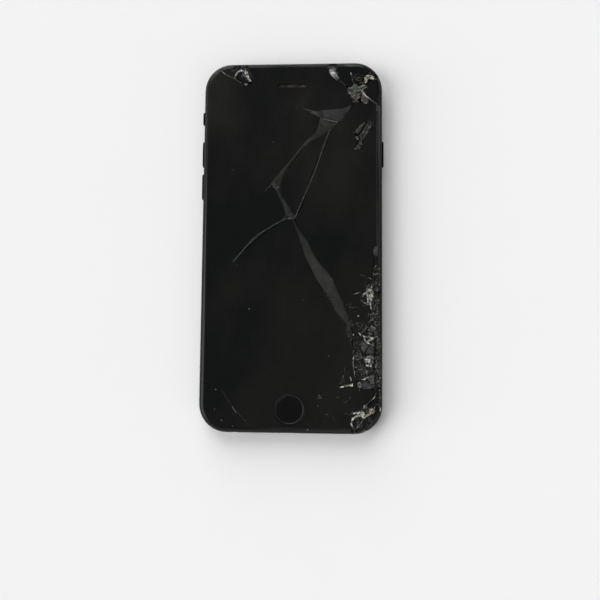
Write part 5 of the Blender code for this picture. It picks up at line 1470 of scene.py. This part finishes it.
class PHONE_OT_stage(bpy.types.Operator):
    """Set the pale floor, the soft lamps, the sky and the camera."""

    bl_idname = "phone.stage"
    bl_label = "Studio"

    def execute(self, context):
        _, _, studio = settings()
        context.scene.view_settings.view_transform = "Standard"
        self.floor(studio)
        self.sky(studio)
        lamps = (
            ("key_lamp", studio.key_light, 190.0),
            ("fill_lamp", studio.fill_light, 105.0),
            ("weak_lamp", studio.weak_light, 315.0),
        )
        for name, strength, bearing in lamps:
            self.lamp(name, strength, bearing)
        self.camera()
        return {"FINISHED"}

    @staticmethod
    def floor(studio):
        """A pale floor that keeps the phone's soft shadow."""
        material, tree, shader, coords = start_material("pale_floor", 0.9)
        shader.inputs["Specular IOR Level"].default_value = 0.0
        colour = tuple(studio.floor_colour)
        grain = noise(tree, coords, 40.0, 2.0)
        colour_by(tree, shader, grain, [(0.3, scaled(colour, 0.995)), (0.7, colour)])
        bm = bmesh.new()
        bmesh.ops.create_grid(bm, x_segments=1, y_segments=1, size=studio.floor_size / 2)
        mesh = bpy.data.meshes.new("studio_floor")
        bm.to_mesh(mesh)
        bm.free()
        mesh.materials.append(material)
        floor = bpy.data.objects.new("studio_floor", mesh)
        bpy.context.scene.collection.objects.link(floor)

    @staticmethod
    def sky(studio):
        """A sky that is pale round the horizon, dim overhead, and dim half way up on the right."""
        world = bpy.data.worlds.new("studio_sky")
        bpy.context.scene.world = world
        world.use_nodes = True
        tree = world.node_tree
        background = tree.nodes["Background"]
        coords = add_node(tree, "ShaderNodeTexCoord").outputs["Generated"]
        split = add_node(tree, "ShaderNodeSeparateXYZ")
        tree.links.new(coords, split.inputs["Vector"])
        dim, pale, shaded = ((value,) * 3 for value in (studio.overhead, studio.horizon, studio.shaded_side))
        low = scaled(pale, 0.5)
        lit_side = ramp(tree, split.outputs["Z"], [(0.08, pale), (0.4, low), (0.84, dim), (1.0, dim)])
        dark_side = ramp(tree, split.outputs["Z"], [(0.08, pale), (0.25, shaded), (0.84, dim), (1.0, dim)])
        side = spread(tree, split.outputs["X"], 0.0, 1.0, from_low=-0.2, from_high=0.5)
        colour = blend_colours(tree, side, lit_side, dark_side)
        tree.links.new(colour, background.inputs["Color"])
        background.inputs["Strength"].default_value = 1.0

    @staticmethod
    def lamp(name, strength, bearing):
        """A wide soft lamp far away, at a bearing in degrees as seen from above."""
        data = bpy.data.lights.new(name, "SUN")
        data.energy = strength
        data.angle = math.radians(LAMP_WIDTH)
        lamp = bpy.data.objects.new(name, data)
        around = math.radians(bearing)
        up = math.radians(LAMP_HEIGHT)
        toward = Vector((math.cos(around) * math.cos(up), math.sin(around) * math.cos(up), math.sin(up)))
        lamp.rotation_mode = "QUATERNION"
        lamp.rotation_quaternion = toward.to_track_quat("Z", "Y")
        bpy.context.scene.collection.objects.link(lamp)

    @staticmethod
    def camera():
        """The photograph's view: close above the phone, a little to the front and right of it."""
        data = bpy.data.cameras.new("photo_camera")
        data.lens = 36.0
        data.sensor_width = 36.0
        data.clip_start = 0.01
        camera = bpy.data.objects.new("photo_camera", data)
        camera.location = Vector((14.426, -36.492, 224.83)) * MM
        forward = Vector((-0.05023, 0.07203, -0.99614))
        up = Vector((-0.00498, 0.99737, 0.07237))
        right = forward.cross(up).normalized()
        up = right.cross(forward)
        camera.rotation_mode = "QUATERNION"
        camera.rotation_quaternion = Matrix((right, up, -forward)).transposed().to_quaternion()
        bpy.context.scene.collection.objects.link(camera)
        bpy.context.scene.camera = camera


GROUPS = (PhoneColours, PhoneSizes, StudioSettings)
OPERATORS = (
    PHONE_OT_stage,
    PHONE_OT_glass,
    PHONE_OT_housing,
    PHONE_OT_keys,
    PHONE_OT_bottom_edge,
    PHONE_OT_rear_camera,
    PHONE_OT_inner_parts,
    PHONE_OT_home_button,
    PHONE_OT_earpiece,
    PHONE_OT_crushed_glass,
    PHONE_OT_feathers,
)


class PHONE_PT_panel(bpy.types.Panel):
    """Buttons and settings of the broken phone."""

    bl_idname = "PHONE_PT_panel"
    bl_label = "Broken Phone"
    bl_space_type = "VIEW_3D"
    bl_region_type = "UI"
    bl_category = "Broken Phone"

    def draw(self, context):
        layout = self.layout
        for group in settings():
            box = layout.box()
            for name in group.bl_rna.properties.keys():
                if name not in ("rna_type", "name"):
                    box.prop(group, name)
        for operator in OPERATORS:
            layout.operator(operator.bl_idname)


def register():
    """Add the classes and the settings."""
    for item in (*GROUPS, *OPERATORS, PHONE_PT_panel):
        bpy.utils.register_class(item)
    bpy.types.Scene.phone_colours = bpy.props.PointerProperty(type=PhoneColours)
    bpy.types.Scene.phone_sizes = bpy.props.PointerProperty(type=PhoneSizes)
    bpy.types.Scene.phone_studio = bpy.props.PointerProperty(type=StudioSettings)


def unregister():
    """Take the classes and the settings away."""
    del bpy.types.Scene.phone_studio
    del bpy.types.Scene.phone_sizes
    del bpy.types.Scene.phone_colours
    for item in reversed((*GROUPS, *OPERATORS, PHONE_PT_panel)):
        bpy.utils.unregister_class(item)


def main():
    """Make the studio and every piece."""
    register()
    bpy.ops.phone.stage()
    bpy.ops.phone.glass()
    bpy.ops.phone.housing()
    bpy.ops.phone.keys()
    bpy.ops.phone.bottom_edge()
    bpy.ops.phone.rear_camera()
    bpy.ops.phone.inner_parts()
    bpy.ops.phone.home_button()
    bpy.ops.phone.earpiece()
    bpy.ops.phone.crushed_glass()
    bpy.ops.phone.feathers()


if __name__ == "__main__":
    main()
